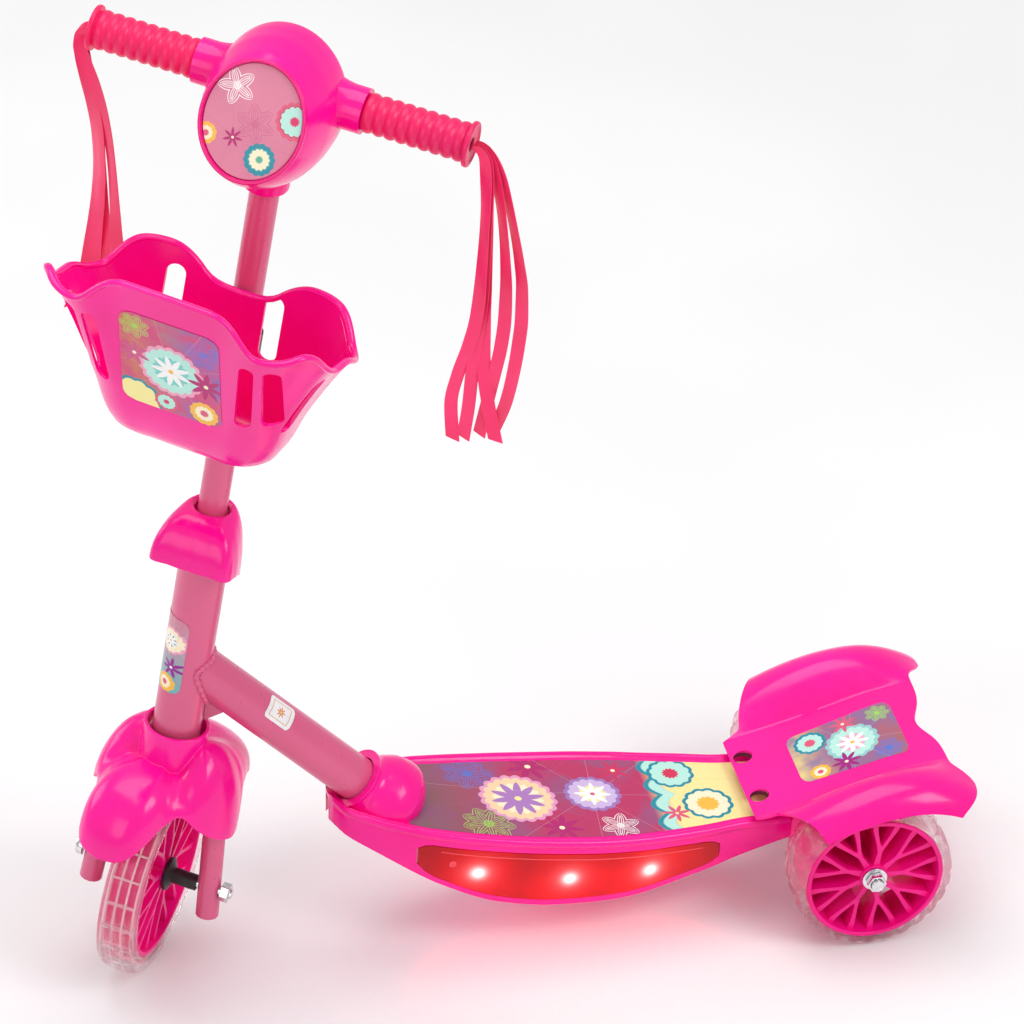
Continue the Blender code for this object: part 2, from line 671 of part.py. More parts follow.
def deck_base(frame):
    """Plate that closes the deck from below, with the battery opening and the switch slot."""
    rings = []
    for k in range(13):
        t = BASE_FROM + (BASE_TO - BASE_FROM) * k / 12
        half, _, keel = deck_at(t)
        w = KEEL_NARROWING * half - DECK_WALL - 0.0006
        low, high = keel + 0.0006, keel + 0.0030
        rings.append([Vector((x, deck_y(t), z)) for x, z in ((-w, low), (w, low), (w, high), (-w, high))])
    base = solid("deck_base", *loft(rings), pink_plastic(), frame)
    low, high = battery_bounds(0.0006)
    cut(base, "battery_opening", box((low[0], low[1], 0.0), (high[0], high[1], 0.06)), frame)
    x, y = switch_centre()
    half_w, half_l = SWITCH_W / 2 + RUNNING_GAP, SWITCH_SLOT_L / 2
    cut(base, "switch_slot", box((x - half_w, y - half_l, 0), (x + half_w, y + half_l, 0.06)), frame)


def keel_z(y):
    return deck_at(deck_share(y))[2]


def battery_bounds(grow):
    middle = deck_y(BATTERY_PLACE)
    half_w, half_l = BATTERY_HALF_W + grow, BATTERY_HALF_L + grow
    return (-half_w, middle - half_l), (half_w, middle + half_l)


def switch_centre():
    return 0.0, deck_y(SWITCH_PLACE)


def battery_pieces(frame):
    """Open-topped box for the cells inside the deck, and the door under it."""
    low, high = battery_bounds(0)
    floor = max(keel_z(low[1]), keel_z(high[1])) + BATTERY_LIFT
    outline = [(low[0], low[1]), (high[0], low[1]), (high[0], high[1]), (low[0], high[1])]
    black = material("black_plastic", (0.02, 0.02, 0.02), 0.45)
    case = solid("battery_box", *prism(outline, floor, floor + BATTERY_H, "Z"), black, frame)
    wall = BATTERY_WALL
    inner = [(low[0] + wall, low[1] + wall), (high[0] - wall, low[1] + wall), (high[0] - wall, high[1] - wall),
             (low[0] + wall, high[1] - wall)]
    cut(case, "battery_hollow", prism(inner, floor + wall, floor + 2 * BATTERY_H, "Z"), frame)
    rings = []
    for k in range(7):
        y = low[1] + (high[1] - low[1]) * k / 6
        z = keel_z(y)
        rings.append([Vector((x, y, z + dz)) for x, dz in ((low[0], 0.0004), (high[0], 0.0004), (high[0], 0.0026),
                                                           (low[0], 0.0026))])
    solid("battery_door", *loft(rings), pink_plastic(), frame)


def lens_and_leds(frame):
    """Red lens in each side of the deck, and the lamp board behind it."""
    for side, sign in SIDES:
        body = deck_wall_body(LENS_T, -0.0003)
        if sign < 0:
            body = ([Vector((-v.x, v.y, v.z)) for v in body[0]], body[1])
        red = material("red_lens", (0.9, 0.01, 0.02), 0.12)
        lens = solid(f"lens_{side}", *body, red, frame, 50)
        low, high = sorted((sign * 0.022, sign * 0.070))
        window = guide(f"lens_trim_{side}", prism(lens_outline(0.0004), low, high, "X"), frame)
        combine(lens, window, "INTERSECT")
        green = material("circuit_board", (0.02, 0.12, 0.05), 0.4)
        rings = []
        for k in range(9):
            t = 0.26 + (0.72 - 0.26) * k / 8
            x, z = board_place(t, sign)
            rings.append([Vector((x + dx, deck_y(t), z + dz)) for dx, dz in
                          ((-0.0007, -0.006), (0.0007, -0.006), (0.0007, 0.006), (-0.0007, 0.006))])
        board = solid(f"led_board_{side}", *loft(rings), green, frame)
        for n, t in enumerate(LED_PLACES):
            x, z = board_place(t, sign)
            y = deck_y(t)
            lamp = bar((x, y, z), (x + sign * 0.0028, y, z), LED_R, 12)
            combine(board, guide(f"led_{side}_{n}", lamp, frame), "UNION")


def board_place(t, sign):
    half, top, keel = deck_at(t)
    return sign * (KEEL_NARROWING * half - LENS_T - 0.0062), (top + keel) / 2 - 0.004


def power_switch(slider):
    """Slide switch in the underside; its knob moves along the deck."""
    x, y = switch_centre()
    z = keel_z(y)
    start = y - (SWITCH_L + SWITCH_TRAVEL) / 2
    low = (x - SWITCH_W / 2, start, z - 0.0012)
    high = (x + SWITCH_W / 2, start + SWITCH_L, z + 0.0062)
    solid("power_switch", *box(low, high), material("black_plastic", (0.02, 0.02, 0.02), 0.45), slider)


def tail_block(frame):
    """Block behind the deck that holds the rear axle and carries the fender."""
    rings = []
    for y, half, low in TAIL_STATIONS:
        top = fender_plate_z(y) - FENDER_T - 2 * GAP
        right = ((half - TAIL_EDGE, low), (half, low + TAIL_EDGE), (half, top - TAIL_SHOULDER_H),
                 (half - TAIL_SHOULDER_W, top))
        left = tuple((-x, z) for x, z in reversed(right))
        rings.append([Vector((x, y, z)) for x, z in right + left])
    block = solid("tail_block", *loft(rings), pink_plastic(), frame)
    cut(block, "tail_axle_bore", bar((-0.06, WHEELBASE, REAR_WHEEL_R), (0.06, WHEELBASE, REAR_WHEEL_R),
                                     REAR_AXLE_R + GAP, 20), frame)


def fender_height(u, y):
    """Top surface of the rear fender at u across (0 middle, 1 outer edge of the arch) and y along."""
    plate = fender_plate_z(y)
    inner_x, crest_x = TRACK / 2 - ARCH_HALF_W, TRACK / 2
    x = abs(u)
    if x <= inner_x - 0.004:
        return plate
    behind = y - WHEELBASE
    crest = ARCH_TOP_Z - 0.0070 * ((behind - 0.024) / 0.030) ** 2 if behind > 0.024 else \
        ARCH_TOP_Z - 0.0220 * ((0.024 - behind) / 0.073) ** 1.9
    base = plate - 0.0015
    if x < crest_x:
        s = (x - (inner_x - 0.004)) / (crest_x - inner_x + 0.004)
        return base + (crest - base) * math.sin(math.pi / 2 * s) ** 0.96 + 0.0015 * (1 - s)
    s = (x - crest_x) / ARCH_HALF_W
    return crest - 0.0150 * (1 - math.sqrt(max(0.0, 1 - (0.94 * s) ** 2))) / (1 - math.sqrt(1 - 0.94 ** 2))


def rear_fender_grid(across, along):
    """Rows of points over the fender: the plate in the middle and an arch over each rear wheel."""
    inner_x, outer_x = TRACK / 2 - ARCH_HALF_W, TRACK / 2 + ARCH_HALF_W
    rows = []
    for j in range(along + 1):
        t = j / along
        row = []
        for i in range(-across, across + 1):
            s = i / across
            x = math.copysign(outer_x * abs(s), s) if i else 0.0
            front = WHEELBASE - FENDER_FRONT_AHEAD
            if abs(x) > FENDER_FRONT_HALF_W:
                front += 0.0120 + 0.0210 * max(0.0, (abs(x) - inner_x) / (outer_x - inner_x)) ** 1.5
            rear = WHEELBASE + FENDER_BEHIND - 0.0085 * math.exp(-(x / 0.017) ** 2)
            if abs(x) > inner_x:
                rear += 0.0120 * math.sin(math.pi / 2 * min(1, (abs(x) - inner_x) / 0.02)) ** 2
                rear -= 0.0090 * ((abs(x) - inner_x) / (outer_x - inner_x)) ** 6
            y = front + (rear - front) * t
            row.append(Vector((x, y, fender_height(x, y))))
        rows.append(row)
    return rows


def thick_sheet(rows, thickness):
    """A closed body from a grid of points and the same grid lowered by the thickness."""
    n, m = len(rows), len(rows[0])
    verts = [p for row in rows for p in row] + [p - Vector((0, 0, thickness)) for row in rows for p in row]
    low = n * m
    faces = []
    for j in range(n - 1):
        for i in range(m - 1):
            a, b, c, d = j * m + i, j * m + i + 1, (j + 1) * m + i + 1, (j + 1) * m + i
            faces.append((a, b, c, d))
            faces.append((low + d, low + c, low + b, low + a))
    border = [i for i in range(m)] + [j * m + m - 1 for j in range(1, n)]
    border += [(n - 1) * m + i for i in range(m - 2, -1, -1)] + [j * m for j in range(n - 2, 0, -1)]
    for k, a in enumerate(border):
        b = border[(k + 1) % len(border)]
        faces.append((a, b, low + b, low + a))
    return verts, faces


def rear_fender(frame):
    fender = solid("rear_fender", *thick_sheet(rear_fender_grid(12, 7), FENDER_T), pink_plastic(), frame, 50)
    for side, sign in SIDES:
        x, y = sign * FENDER_SCREW_X, WHEELBASE - FENDER_SCREW_AHEAD
        cut(fender, f"fender_recess_{side}", bar((x, y, 0.06), (x, y, 0.10), RECESS_R, 20), frame)
        top = deck_at(deck_share(y))[1] - DECK_FLOOR_DROP
        profile = [(0, top - 0.0100), (0.0017, top - 0.0100), (0.0017, top + GAP), (0.0042, top + GAP),
                   (0.0036, top + 0.0022), (0, top + 0.0026)]
        screw = solid(f"fender_screw_{side}", *turned(profile, 12), chrome(), frame)
        screw.location = (x, y, 0)


def rear_axle_pieces(frame):
    rear = empty("rear_axle_line", frame, REAR_AXLE)
    outer = TRACK / 2 + REAR_WHEEL_W / 2
    face = outer - HUB_INSET - BOSS_INSET + RUNNING_GAP
    nut_from = face + WASHER_T + GAP
    reach = nut_from + NUT_H + 0.0020
    solid("rear_axle", *bar((-reach, 0, 0), (reach, 0, 0), REAR_AXLE_R, 24), chrome(), rear)
    for side, sign in SIDES:
        r = REAR_AXLE_R + GAP
        start, end = sorted((sign * face, sign * (face + WASHER_T)))
        profile = [(r, start), (WASHER_R, start), (WASHER_R, end), (r, end)]
        solid(f"rear_washer_{side}", *turned(profile, 20, "X"), chrome(), rear)
        nut(f"rear_nut_{side}", sign * nut_from, sign, REAR_AXLE_R, rear)
        pivot = empty(f"rear_wheel_axis_{side}", frame, REAR_AXLE)
        wheel(f"rear_{side}", sign * TRACK / 2, REAR_RIM_R, REAR_WHEEL_R, REAR_WHEEL_W,
              REAR_AXLE_R + RUNNING_GAP, pivot)


# ---------------------------------------------------------------- steered parts
def fork(steered):
    """Bent steel tube: two legs and the crown over the wheel."""
    path = []
    for sign in (-1, 1):
        half = [Vector((sign * LEG_X, 0, -LEG_DROP))]
        for k in range(6):
            a = math.pi / 2 * k / 5
            half.append(Vector((sign * (LEG_TOP_X - CROWN_BEND_R * (1 - math.cos(a))), 0,
                                CROWN_Z - CROWN_BEND_R * (1 - math.sin(a)))))
        path += half if sign < 0 else half[::-1]
    rings = []
    for i, p in enumerate(path):
        before, after = path[max(i - 1, 0)], path[min(i + 1, len(path) - 1)]
        along = (after - before).normalized()
        sideways = Vector((0, 1, 0)).cross(along)
        rings.append([p + LEG_R * (math.cos(a) * sideways + math.sin(a) * Vector((0, 1, 0)))
                      for a in (2 * math.pi * k / 14 for k in range(14))])
    body = solid("fork", *loft(rings), rose_paint(), steered)
    cut(body, "fork_axle_holes", bar((-0.06, 0, 0), (0.06, 0, 0), AXLE_R + GAP, 16), steered)


def stem_tube(steered):
    low = CROWN_Z + LEG_R + GAP
    profile = [(STEM_R - STEM_WALL, low), (STEM_R, low), (STEM_R, STEM_TOP), (STEM_R - STEM_WALL, STEM_TOP)]
    stem = solid("stem_tube", *turned(profile, 28), rose_paint(), steered)
    cut(stem, "stem_bar_saddle", bar((-0.05, 0, BAR_H), (0.05, 0, BAR_H), BAR_R + GAP, 24), steered)


def front_axle_pieces(steered):
    """Bolt through the fork and the wheel, its nut, and the spacers beside the hub."""
    outer = AXLE_LEG_X + LEG_R + NUT_ACROSS_R * LEG_SPLAY + 2 * GAP
    profile = [(0, -outer - 0.0045), (NUT_ACROSS_R - 0.0010, -outer - 0.0045), (NUT_ACROSS_R, -outer - 0.0030),
               (NUT_ACROSS_R, -outer), (AXLE_R, -outer), (AXLE_R, outer + NUT_H + 0.0015),
               (0, outer + NUT_H + 0.0015)]
    solid("front_axle", *turned(profile, 20, "X"), chrome(), steered)
    nut("front_nut", outer, 1, AXLE_R, steered)
    black = material("black_plastic", (0.02, 0.02, 0.02), 0.45)
    hub_face = FRONT_WHEEL_W / 2 - HUB_INSET - BOSS_INSET + RUNNING_GAP
    leg_face = AXLE_LEG_X - LEG_R - SPACER_R * LEG_SPLAY - 2 * GAP
    for side, sign in SIDES:
        r = AXLE_R + GAP
        points = [(r, hub_face), (SPACER_FLANGE_R, hub_face), (SPACER_FLANGE_R, hub_face + 0.0020),
                  (SPACER_R, hub_face + 0.0045), (SPACER_R, leg_face), (r, leg_face)]
        profile = [(a, sign * h) for a, h in points]
        solid(f"front_spacer_{side}", *turned(profile, 16, "X"), black, steered)


def domed_shell(hem, top_r, thickness, steps, levels, neck=None, squareness=2.3):
    """A shell that falls from a round neck at the steering axis to a hem that varies round it.

    hem lists (angle from the front in degrees, reach, height, height of the shell's top) for half a turn;
    the other half mirrors it.
    """
    reach_at, height_at, top_at = ([(row[0], row[i]) for row in hem] for i in (1, 2, 3))

    def column(angle, inset):
        across = angle if angle <= 180 else 360 - angle
        reach = smooth_through(reach_at, across) - inset
        low = smooth_through(height_at, across)
        top = smooth_through(top_at, across) - inset
        points = [] if neck is None else [(top_r - inset, neck)]
        for k in range(levels + 1):
            a = math.pi / 2 * k / levels
            out = math.sin(a) ** (2 / squareness)
            down = 1 - max(0.0, math.cos(a)) ** (2 / squareness)
            points.append((top_r - inset + (reach - top_r + inset) * out, top + (low - top) * down))
        return points

    rings = []
    for k in range(steps):
        angle = 360 * k / steps
        outer, inner = column(angle, 0), column(angle, thickness)
        a = math.radians(angle)
        ring = [Vector((r * math.sin(a), -r * math.cos(a), z)) for r, z in outer + inner[::-1]]
        rings.append(ring)
    return loft(rings, closed=True)


FRONT_HEM = ((0, 0.0700, 0.0430, 0.0900), (12, 0.0695, 0.0450, 0.0900), (20, 0.0665, 0.0495, 0.0900),
             (28, 0.0600, 0.0575, 0.0890), (38, 0.0490, 0.0655, 0.0870), (48, 0.0450, 0.0705, 0.0870),
             (60, 0.0455, 0.0610, 0.0940), (75, 0.0465, 0.0525, 0.1010), (90, 0.0470, 0.0465, 0.1040),
             (105, 0.0472, 0.0430, 0.1040), (118, 0.0470, 0.0460, 0.1030), (128, 0.0470, 0.0620, 0.1010),
             (140, 0.0500, 0.0680, 0.0980), (152, 0.0570, 0.0640, 0.0960), (166, 0.0640, 0.0560, 0.0950),
             (180, 0.0660, 0.0530, 0.0950))
COVER_HEM = ((0, 0.0330, 0.2410, 0.2700), (20, 0.0350, 0.2410, 0.2700), (37, 0.0400, 0.2405, 0.2700),
             (50, 0.0345, 0.2390, 0.2700), (70, 0.0270, 0.2340, 0.2700), (90, 0.0235, 0.2280, 0.2700),
             (130, 0.0200, 0.2240, 0.2700), (180, 0.0190, 0.2230, 0.2700))


def front_fender(steered):
    mount = empty("fender_place", steered, (0, 0, 0), Matrix.Rotation(FRONT_FENDER_TURN, 3, "Z"))
    shape = domed_shell(FRONT_HEM, FRONT_COLLAR_R, FRONT_FENDER_T, 44, 5, FRONT_COLLAR_TOP)
    solid("front_fender", *shape, pink_plastic(), mount, 50)


def stem_cover(steered):
    shape = domed_shell(COVER_HEM, STEM_R + RUNNING_GAP + COVER_WALL + 0.001, COVER_WALL, 22, 4, None, 2.2)
    solid("stem_cover", *shape, pink_plastic(), steered, 50)


def housing_body(inset):
    """The handlebar housing: a swelling that narrows forward to the tilted oval face."""
    stations = ((-HOUSING_BACK, 0.62, 0.60, 0.552), (-HOUSING_BACK + 0.005, 0.86, 0.85, 0.552),
                (-0.005, 0.985, 0.98, 0.552), (0.008, 1.0, 1.0, 0.552), (0.020, 0.985, 0.985, 0.553),
                (0.032, 0.93, 0.93, 0.555), (0.042, 0.86, 0.865, 0.5575),
                (FACE_AHEAD - 0.0005, 0.79, 0.785, 0.560))
    rings = []
    for ahead, w, h, centre in stations:
        share = (ahead + HOUSING_BACK) / (FACE_AHEAD + HOUSING_BACK)
        tilt = FACE_TILT * share ** 1.5
        a, b = HOUSING_HALF_W * w - inset, HOUSING_HALF_H * h - inset
        forward = min(max(ahead, inset - HOUSING_BACK), FACE_AHEAD - 0.0005 - 2 * inset)
        height = centre + BAR_H - 0.560
        rings.append([Vector((x, -forward + z * math.sin(tilt), height + z * math.cos(tilt)))
                      for x, z in rounded(a, b, 24)])
    return loft(rings)


def face_place():
    return Matrix.Translation((0, -FACE_AHEAD, BAR_H)) @ Matrix.Rotation(math.pi / 2 - FACE_TILT, 4, "X")


def handlebar(steered):
    """Bar, two-part housing with its arms and collar, the oval face, and the grips."""
    bar_end = GRIP_END - GRIP_FLANGE_T - 0.002
    shape = bar((-bar_end, 0, BAR_H), (bar_end, 0, BAR_H), BAR_R, 28, BAR_R - 0.0015)
    solid("handlebar_tube", *shape, rose_paint(), steered)
    far = 0.12
    for name, low, high in (("housing_front", -far, -GAP / 2), ("housing_rear", GAP / 2, far)):
        half = solid(name, *housing_body(0), pink_plastic(), steered, 45)
        arms = bar((-ARM_END, 0, BAR_H), (ARM_END, 0, BAR_H), ARM_R, 20)
        combine(half, guide(f"{name}_arms", arms, steered), "UNION")
        cut(half, f"{name}_hollow", housing_body(HOUSING_WALL), steered)
        cut(half, f"{name}_stem_hole", bar((0, 0, BAR_H - 0.09), (0, 0, BAR_H - BAR_R / 2), STEM_R + GAP, 20),
            steered)
        cut(half, f"{name}_bar_hole", bar((-0.08, 0, BAR_H), (0.08, 0, BAR_H), BAR_R + GAP, 20), steered)
        keep = guide(f"{name}_side", box((-0.1, low, BAR_H - 0.1), (0.1, high, BAR_H + 0.1)), steered)
        combine(half, keep, "INTERSECT")
    front = bpy.data.objects["housing_front"]
    place = face_place()
    opening = prism(rounded(FACE_HALF_W + GAP, FACE_HALF_H + GAP, 32), -2 * FACE_RECESS, 0.01, "Z")
    cut(front, "face_opening", ([place @ v for v in opening[0]], opening[1]), steered)
    plate = prism(rounded(FACE_HALF_W, FACE_HALF_H, 32), -FACE_RECESS, FACE_T - FACE_RECESS, "Z")
    solid("face_plate", [place @ v for v in plate[0]], plate[1], material("face_pink", (0.75, 0.22, 0.36), 0.3),
          steered)
    top = housing_floor() - GAP
    profile = [(STEM_R + GAP, top - COLLAR_H), (COLLAR_R - 0.001, top - COLLAR_H),
               (COLLAR_R, top - COLLAR_H + 0.002),
               (COLLAR_R, top - 0.0015), (COLLAR_R - 0.0015, top), (STEM_R + GAP, top)]
    solid("housing_collar", *turned(profile, 20), pink_plastic(), steered)


def housing_floor():
    """Lowest point of the housing where the collar meets it."""
    return BAR_H - HOUSING_CENTRE_DROP - HOUSING_HALF_H - HOUSING_SAG


def grips(steered):
    soft_pink = material("grip_pink", (0.95, 0.05, 0.18), 0.4)
    start = ARM_END + GAP
    body_end = GRIP_END - GRIP_FLANGE_T
    pitch = (body_end - start) / GRIP_RIBS
    bore = bore_around(BAR_R, GRIP_SEGMENTS)
    points = [(bore, start)]
    for k in range(GRIP_RIBS):
        x = start + k * pitch
        points += [(GRIP_R - GRIP_RIB_DEPTH, x), (GRIP_R, x + pitch / 2)]
    points += [(GRIP_R - GRIP_RIB_DEPTH, body_end), (GRIP_FLANGE_R, body_end), (GRIP_FLANGE_R, GRIP_END),
               (GRIP_HOLE_R, GRIP_END), (GRIP_HOLE_R, body_end - 0.0005), (bore, body_end - 0.0005)]
    for side, sign in SIDES:
        profile = [(r, sign * x) for r, x in points]
        grip = solid(f"grip_{side}", *turned(profile, GRIP_SEGMENTS, "X"), soft_pink, steered)
        grip.location = (0, 0, BAR_H)


# ---------------------------------------------------------------- basket
BASKET_LEVELS = ((0, 0.0340, 0.0180, 0.0540), (0.035, 0.0440, 0.0145, 0.0690), (0.10, 0.0510, 0.0132, 0.0820),
                 (0.40, 0.0615, 0.0132, 0.1025), (0.72, 0.0745, 0.0132, 0.1220), (1.0, 0.0880, 0.0132, 0.1390))
BASKET_RIM = ((0, 0.4870), (12, 0.4860), (17, 0.4760), (22, 0.4665), (30, 0.4630), (45, 0.4640), (58, 0.4675),
              (68, 0.4640), (80, 0.4520), (92, 0.4400), (108, 0.4290), (122, 0.4270), (133, 0.4360), (143, 0.4450),
              (155, 0.4470), (166, 0.4460), (175.5, 0.4320), (180, 0.4165))


def basket_ring(level, grow=0.0, raise_by=0.0, steps=34):
    """Points round the basket at one level, grown outward and raised."""
    share, half, back, ahead = level
    middle, deep = (back + ahead) / 2, (ahead - back) / 2 + grow
    wide = half + grow
    ring = []
    for k in range(steps):
        angle = 360 * k / steps
        a = math.radians(angle)
        s, c = math.sin(a), math.cos(a)
        x = math.copysign(abs(s) ** 0.571, s) * wide
        y = math.copysign(abs(c) ** 0.571, c) * deep + middle
        rim = smooth_through(BASKET_RIM, angle if angle <= 180 else 360 - angle)
        z = BASKET_FLOOR + share * (rim - BASKET_FLOOR) + raise_by
        ring.append(Vector((x, -max(y, BASKET_BACK), z)))
    return ring


def basket(steered):
    mount = empty("basket_place", steered, (0, 0, 0), Matrix.Rotation(BASKET_TURN, 3, "Z"))
    top = BASKET_LEVELS[-1]
    rings = [basket_ring(level) for level in BASKET_LEVELS[:-1]]
    rings.append(basket_ring((0.97, *top[1:]), -0.0005))
    rings.append(basket_ring((0.97, *top[1:]), BASKET_LIP))
    rings.append(basket_ring(top, BASKET_LIP))
    rings.append(basket_ring(top, BASKET_LIP / 2, 0.0012))
    inner = []
    for level in BASKET_LEVELS:
        ring = basket_ring(level, -BASKET_WALL, BASKET_WALL if level[0] == 0 else 0.0)
        inner.append([Vector((v.x, min(v.y, -BASKET_BACK - BASKET_WALL), v.z)) for v in ring])
    rings += inner[::-1]
    body = solid("basket", *loft(rings), pink_plastic(), mount, 50)
    for side, sign in SIDES:
        for n, x in enumerate(FRONT_SLOT_X):
            shape = stadium((sign * x, FRONT_SLOT_Z), SLOT_W, FRONT_SLOT_H, sign * 0.006)
            cut(body, f"basket_front_slot_{side}_{n}", prism(shape, -0.20, -0.075, "Y"), mount)
        shape = [(-y, z) for y, z in stadium((SIDE_SLOT_AHEAD, SIDE_SLOT_Z), SLOT_W, SIDE_SLOT_H, 0.012)]
        low, high = sorted((sign * 0.040, sign * 0.120))
        cut(body, f"basket_side_slot_{side}", prism(shape, low, high, "X"), mount)
    for n, x in enumerate(BACK_SLOT_X):
        shape = stadium((x, BACK_SLOT_Z), BACK_SLOT_W, BACK_SLOT_H)
        cut(body, f"basket_back_slot_{n}", prism(shape, -0.030, 0.0, "Y"), mount)
    middle = CLAMP_Z
    profile = [(STEM_R + GAP, middle - CLAMP_H / 2), (BASKET_BACK - GAP, middle - CLAMP_H / 2),
               (BASKET_BACK - GAP, middle + CLAMP_H / 2), (STEM_R + GAP, middle + CLAMP_H / 2)]
    black = material("black_plastic", (0.02, 0.02, 0.02), 0.45)
    clamp = solid("basket_clamp", *turned(profile, 24), black, mount)
    cut(body, "basket_screw_hole", bar((0, -0.03, middle), (0, 0, middle), CLAMP_SCREW_R + GAP, 12), mount)
    cut(clamp, "clamp_screw_hole", bar((0, -0.03, middle), (0, 0, middle), CLAMP_SCREW_R + GAP, 12), mount)
    inside = BASKET_BACK + BASKET_WALL + GAP
    profile = [(0, -STEM_R - 2 * GAP), (CLAMP_SCREW_R, -STEM_R - 2 * GAP), (CLAMP_SCREW_R, -inside),
               (0.0040, -inside),
               (0.0034, -inside - 0.0020), (0, -inside - 0.0024)]
    verts, faces = turned(profile, 12)
    solid("basket_screw", [Vector((v.x, v.z, v.y + middle)) for v in verts], faces, chrome(), mount)


# ---------------------------------------------------------------- streamers
def streamer_route(side, sign, number):
    """World points of one ribbon's middle line, from the grip's end down."""
    outward = Vector((sign * math.cos(STEER_AT_REST), sign * math.sin(STEER_AT_REST), 0))
    aside = Vector((0, 0, 1)).cross(outward)
    start = steered_place() @ Vector((sign * GRIP_END, 0, BAR_H))
    bunch = STREAMER_OUTS[side]
    layer = (number - (len(bunch) - 1) / 2) * STREAMER_PITCH
    points = []
    for drop, out in zip(STREAMER_DROPS, bunch[number]):
        fan = 1 + (STREAMER_FAN - 1) * drop / STREAMER_DROPS[-1]
        points.append(start + out / 1000 * outward + layer * fan * aside - Vector((0, 0, drop / 1000)))
    return points, aside


def streamers(steered):
    """Flat ribbons that hang from the grips' ends, gathered where they come out."""
    ribbon_pink = material("ribbon_pink", (0.95, 0.04, 0.16), 0.35)
    to_local = steered_place().inverted()
    for side, sign in SIDES:
        for number in range(len(STREAMER_OUTS[side])):
            points, aside = streamer_route(side, sign, number)
            rings = []
            for i, p in enumerate(points):
                along = (points[min(i + 1, len(points) - 1)] - points[max(i - 1, 0)]).normalized()
                across = along.cross(aside).normalized()
                width = STREAMER_W * min(1.0, 0.32 + 0.68 * i / 5)
                rings.append([to_local @ (p + across * (dx * width / 2) + aside * (dy * STREAMER_T / 2))
                              for dx, dy in ((-1, -1), (1, -1), (1, 1), (-1, 1))])
            solid(f"streamer_{side}_{number + 1}", *loft(rings), ribbon_pink, steered)


# ---------------------------------------------------------------- assembly
def stand_on_origin(ground):
    """Move the scooter so that the middle of its base is the origin."""
    bpy.context.view_layer.update()
    graph = bpy.context.evaluated_depsgraph_get()
    low, high = Vector((9, 9, 9)), Vector((-9, -9, -9))
    for obj in bpy.data.objects:
        if obj.type != "MESH" or obj.hide_render or obj.name.startswith("streamer"):
            continue
        mesh = obj.evaluated_get(graph).to_mesh()
        for v in mesh.vertices:
            p = obj.matrix_world @ v.co
            low = Vector(map(min, low, p))
            high = Vector(map(max, high, p))
        obj.evaluated_get(graph).to_mesh_clear()
    ground.location = -Vector(((low.x + high.x) / 2, (low.y + high.y) / 2, low.z))


def build():
    for obj in list(bpy.data.objects):
        bpy.data.objects.remove(obj, do_unlink=True)
    ground = empty("ground")
    frame = empty("frame", ground)
    head_axis = empty("head_axis", frame, FRONT_AXLE, Matrix.Rotation(-RAKE, 3, "X"))
    steered = empty("steering_axis", frame, FRONT_AXLE, steered_place().to_3x3())
    front_wheel = empty("front_wheel_axis", steered)
    slider = empty("switch_slide", frame)
    head_tube(head_axis)
    down_tube(frame, head_axis)
    gusset_plate(frame)
    deck_shell(frame)
    deck_rail(frame)
    deck_base(frame)
    battery_pieces(frame)
    lens_and_leds(frame)
    power_switch(slider)
    tail_block(frame)
    rear_fender(frame)
    rear_axle_pieces(frame)
    fork(steered)
    stem_tube(steered)
    front_axle_pieces(steered)
    wheel("front", 0, FRONT_RIM_R, FRONT_WHEEL_R, FRONT_WHEEL_W, AXLE_R + RUNNING_GAP, front_wheel)
    front_fender(steered)
    stem_cover(steered)
    handlebar(steered)
    grips(steered)
    basket(steered)
    streamers(steered)
    stand_on_origin(ground)


build()
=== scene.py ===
"""Looks of the kids' three-wheel kick scooter: fine surfaces, materials, stickers, streamers and light.

Metres throughout.  Three local frames carry most pieces: HOME (front axle above its origin, forward -Y),
STEER (X along the handlebar, -Y forward, Z up the steering axis) and BASKET (STEER turned a little).
"""
import json
import math

import bmesh
import bpy
from mathutils import Matrix, Vector


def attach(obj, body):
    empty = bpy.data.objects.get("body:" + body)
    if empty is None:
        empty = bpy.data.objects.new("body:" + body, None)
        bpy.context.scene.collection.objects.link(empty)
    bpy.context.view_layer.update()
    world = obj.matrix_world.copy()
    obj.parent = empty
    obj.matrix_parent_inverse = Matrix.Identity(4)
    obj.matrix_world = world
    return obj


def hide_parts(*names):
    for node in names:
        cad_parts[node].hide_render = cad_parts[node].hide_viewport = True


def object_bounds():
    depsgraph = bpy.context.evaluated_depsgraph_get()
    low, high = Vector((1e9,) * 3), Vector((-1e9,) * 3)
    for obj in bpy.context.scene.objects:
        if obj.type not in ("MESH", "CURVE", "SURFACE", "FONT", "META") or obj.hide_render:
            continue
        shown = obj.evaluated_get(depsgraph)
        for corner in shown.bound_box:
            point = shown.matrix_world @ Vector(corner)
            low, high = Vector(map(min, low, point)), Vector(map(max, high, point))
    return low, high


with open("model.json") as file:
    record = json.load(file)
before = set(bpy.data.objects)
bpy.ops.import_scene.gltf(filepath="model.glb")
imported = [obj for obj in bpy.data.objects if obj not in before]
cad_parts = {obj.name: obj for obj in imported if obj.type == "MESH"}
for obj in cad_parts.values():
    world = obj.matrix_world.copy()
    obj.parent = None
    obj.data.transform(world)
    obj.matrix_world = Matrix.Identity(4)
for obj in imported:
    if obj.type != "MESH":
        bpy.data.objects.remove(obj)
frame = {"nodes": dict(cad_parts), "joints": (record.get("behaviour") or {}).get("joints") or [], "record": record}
CAD_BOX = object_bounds()
NODES = frame["nodes"]
JOINTS = {joint["name"]: joint for joint in frame["joints"]}

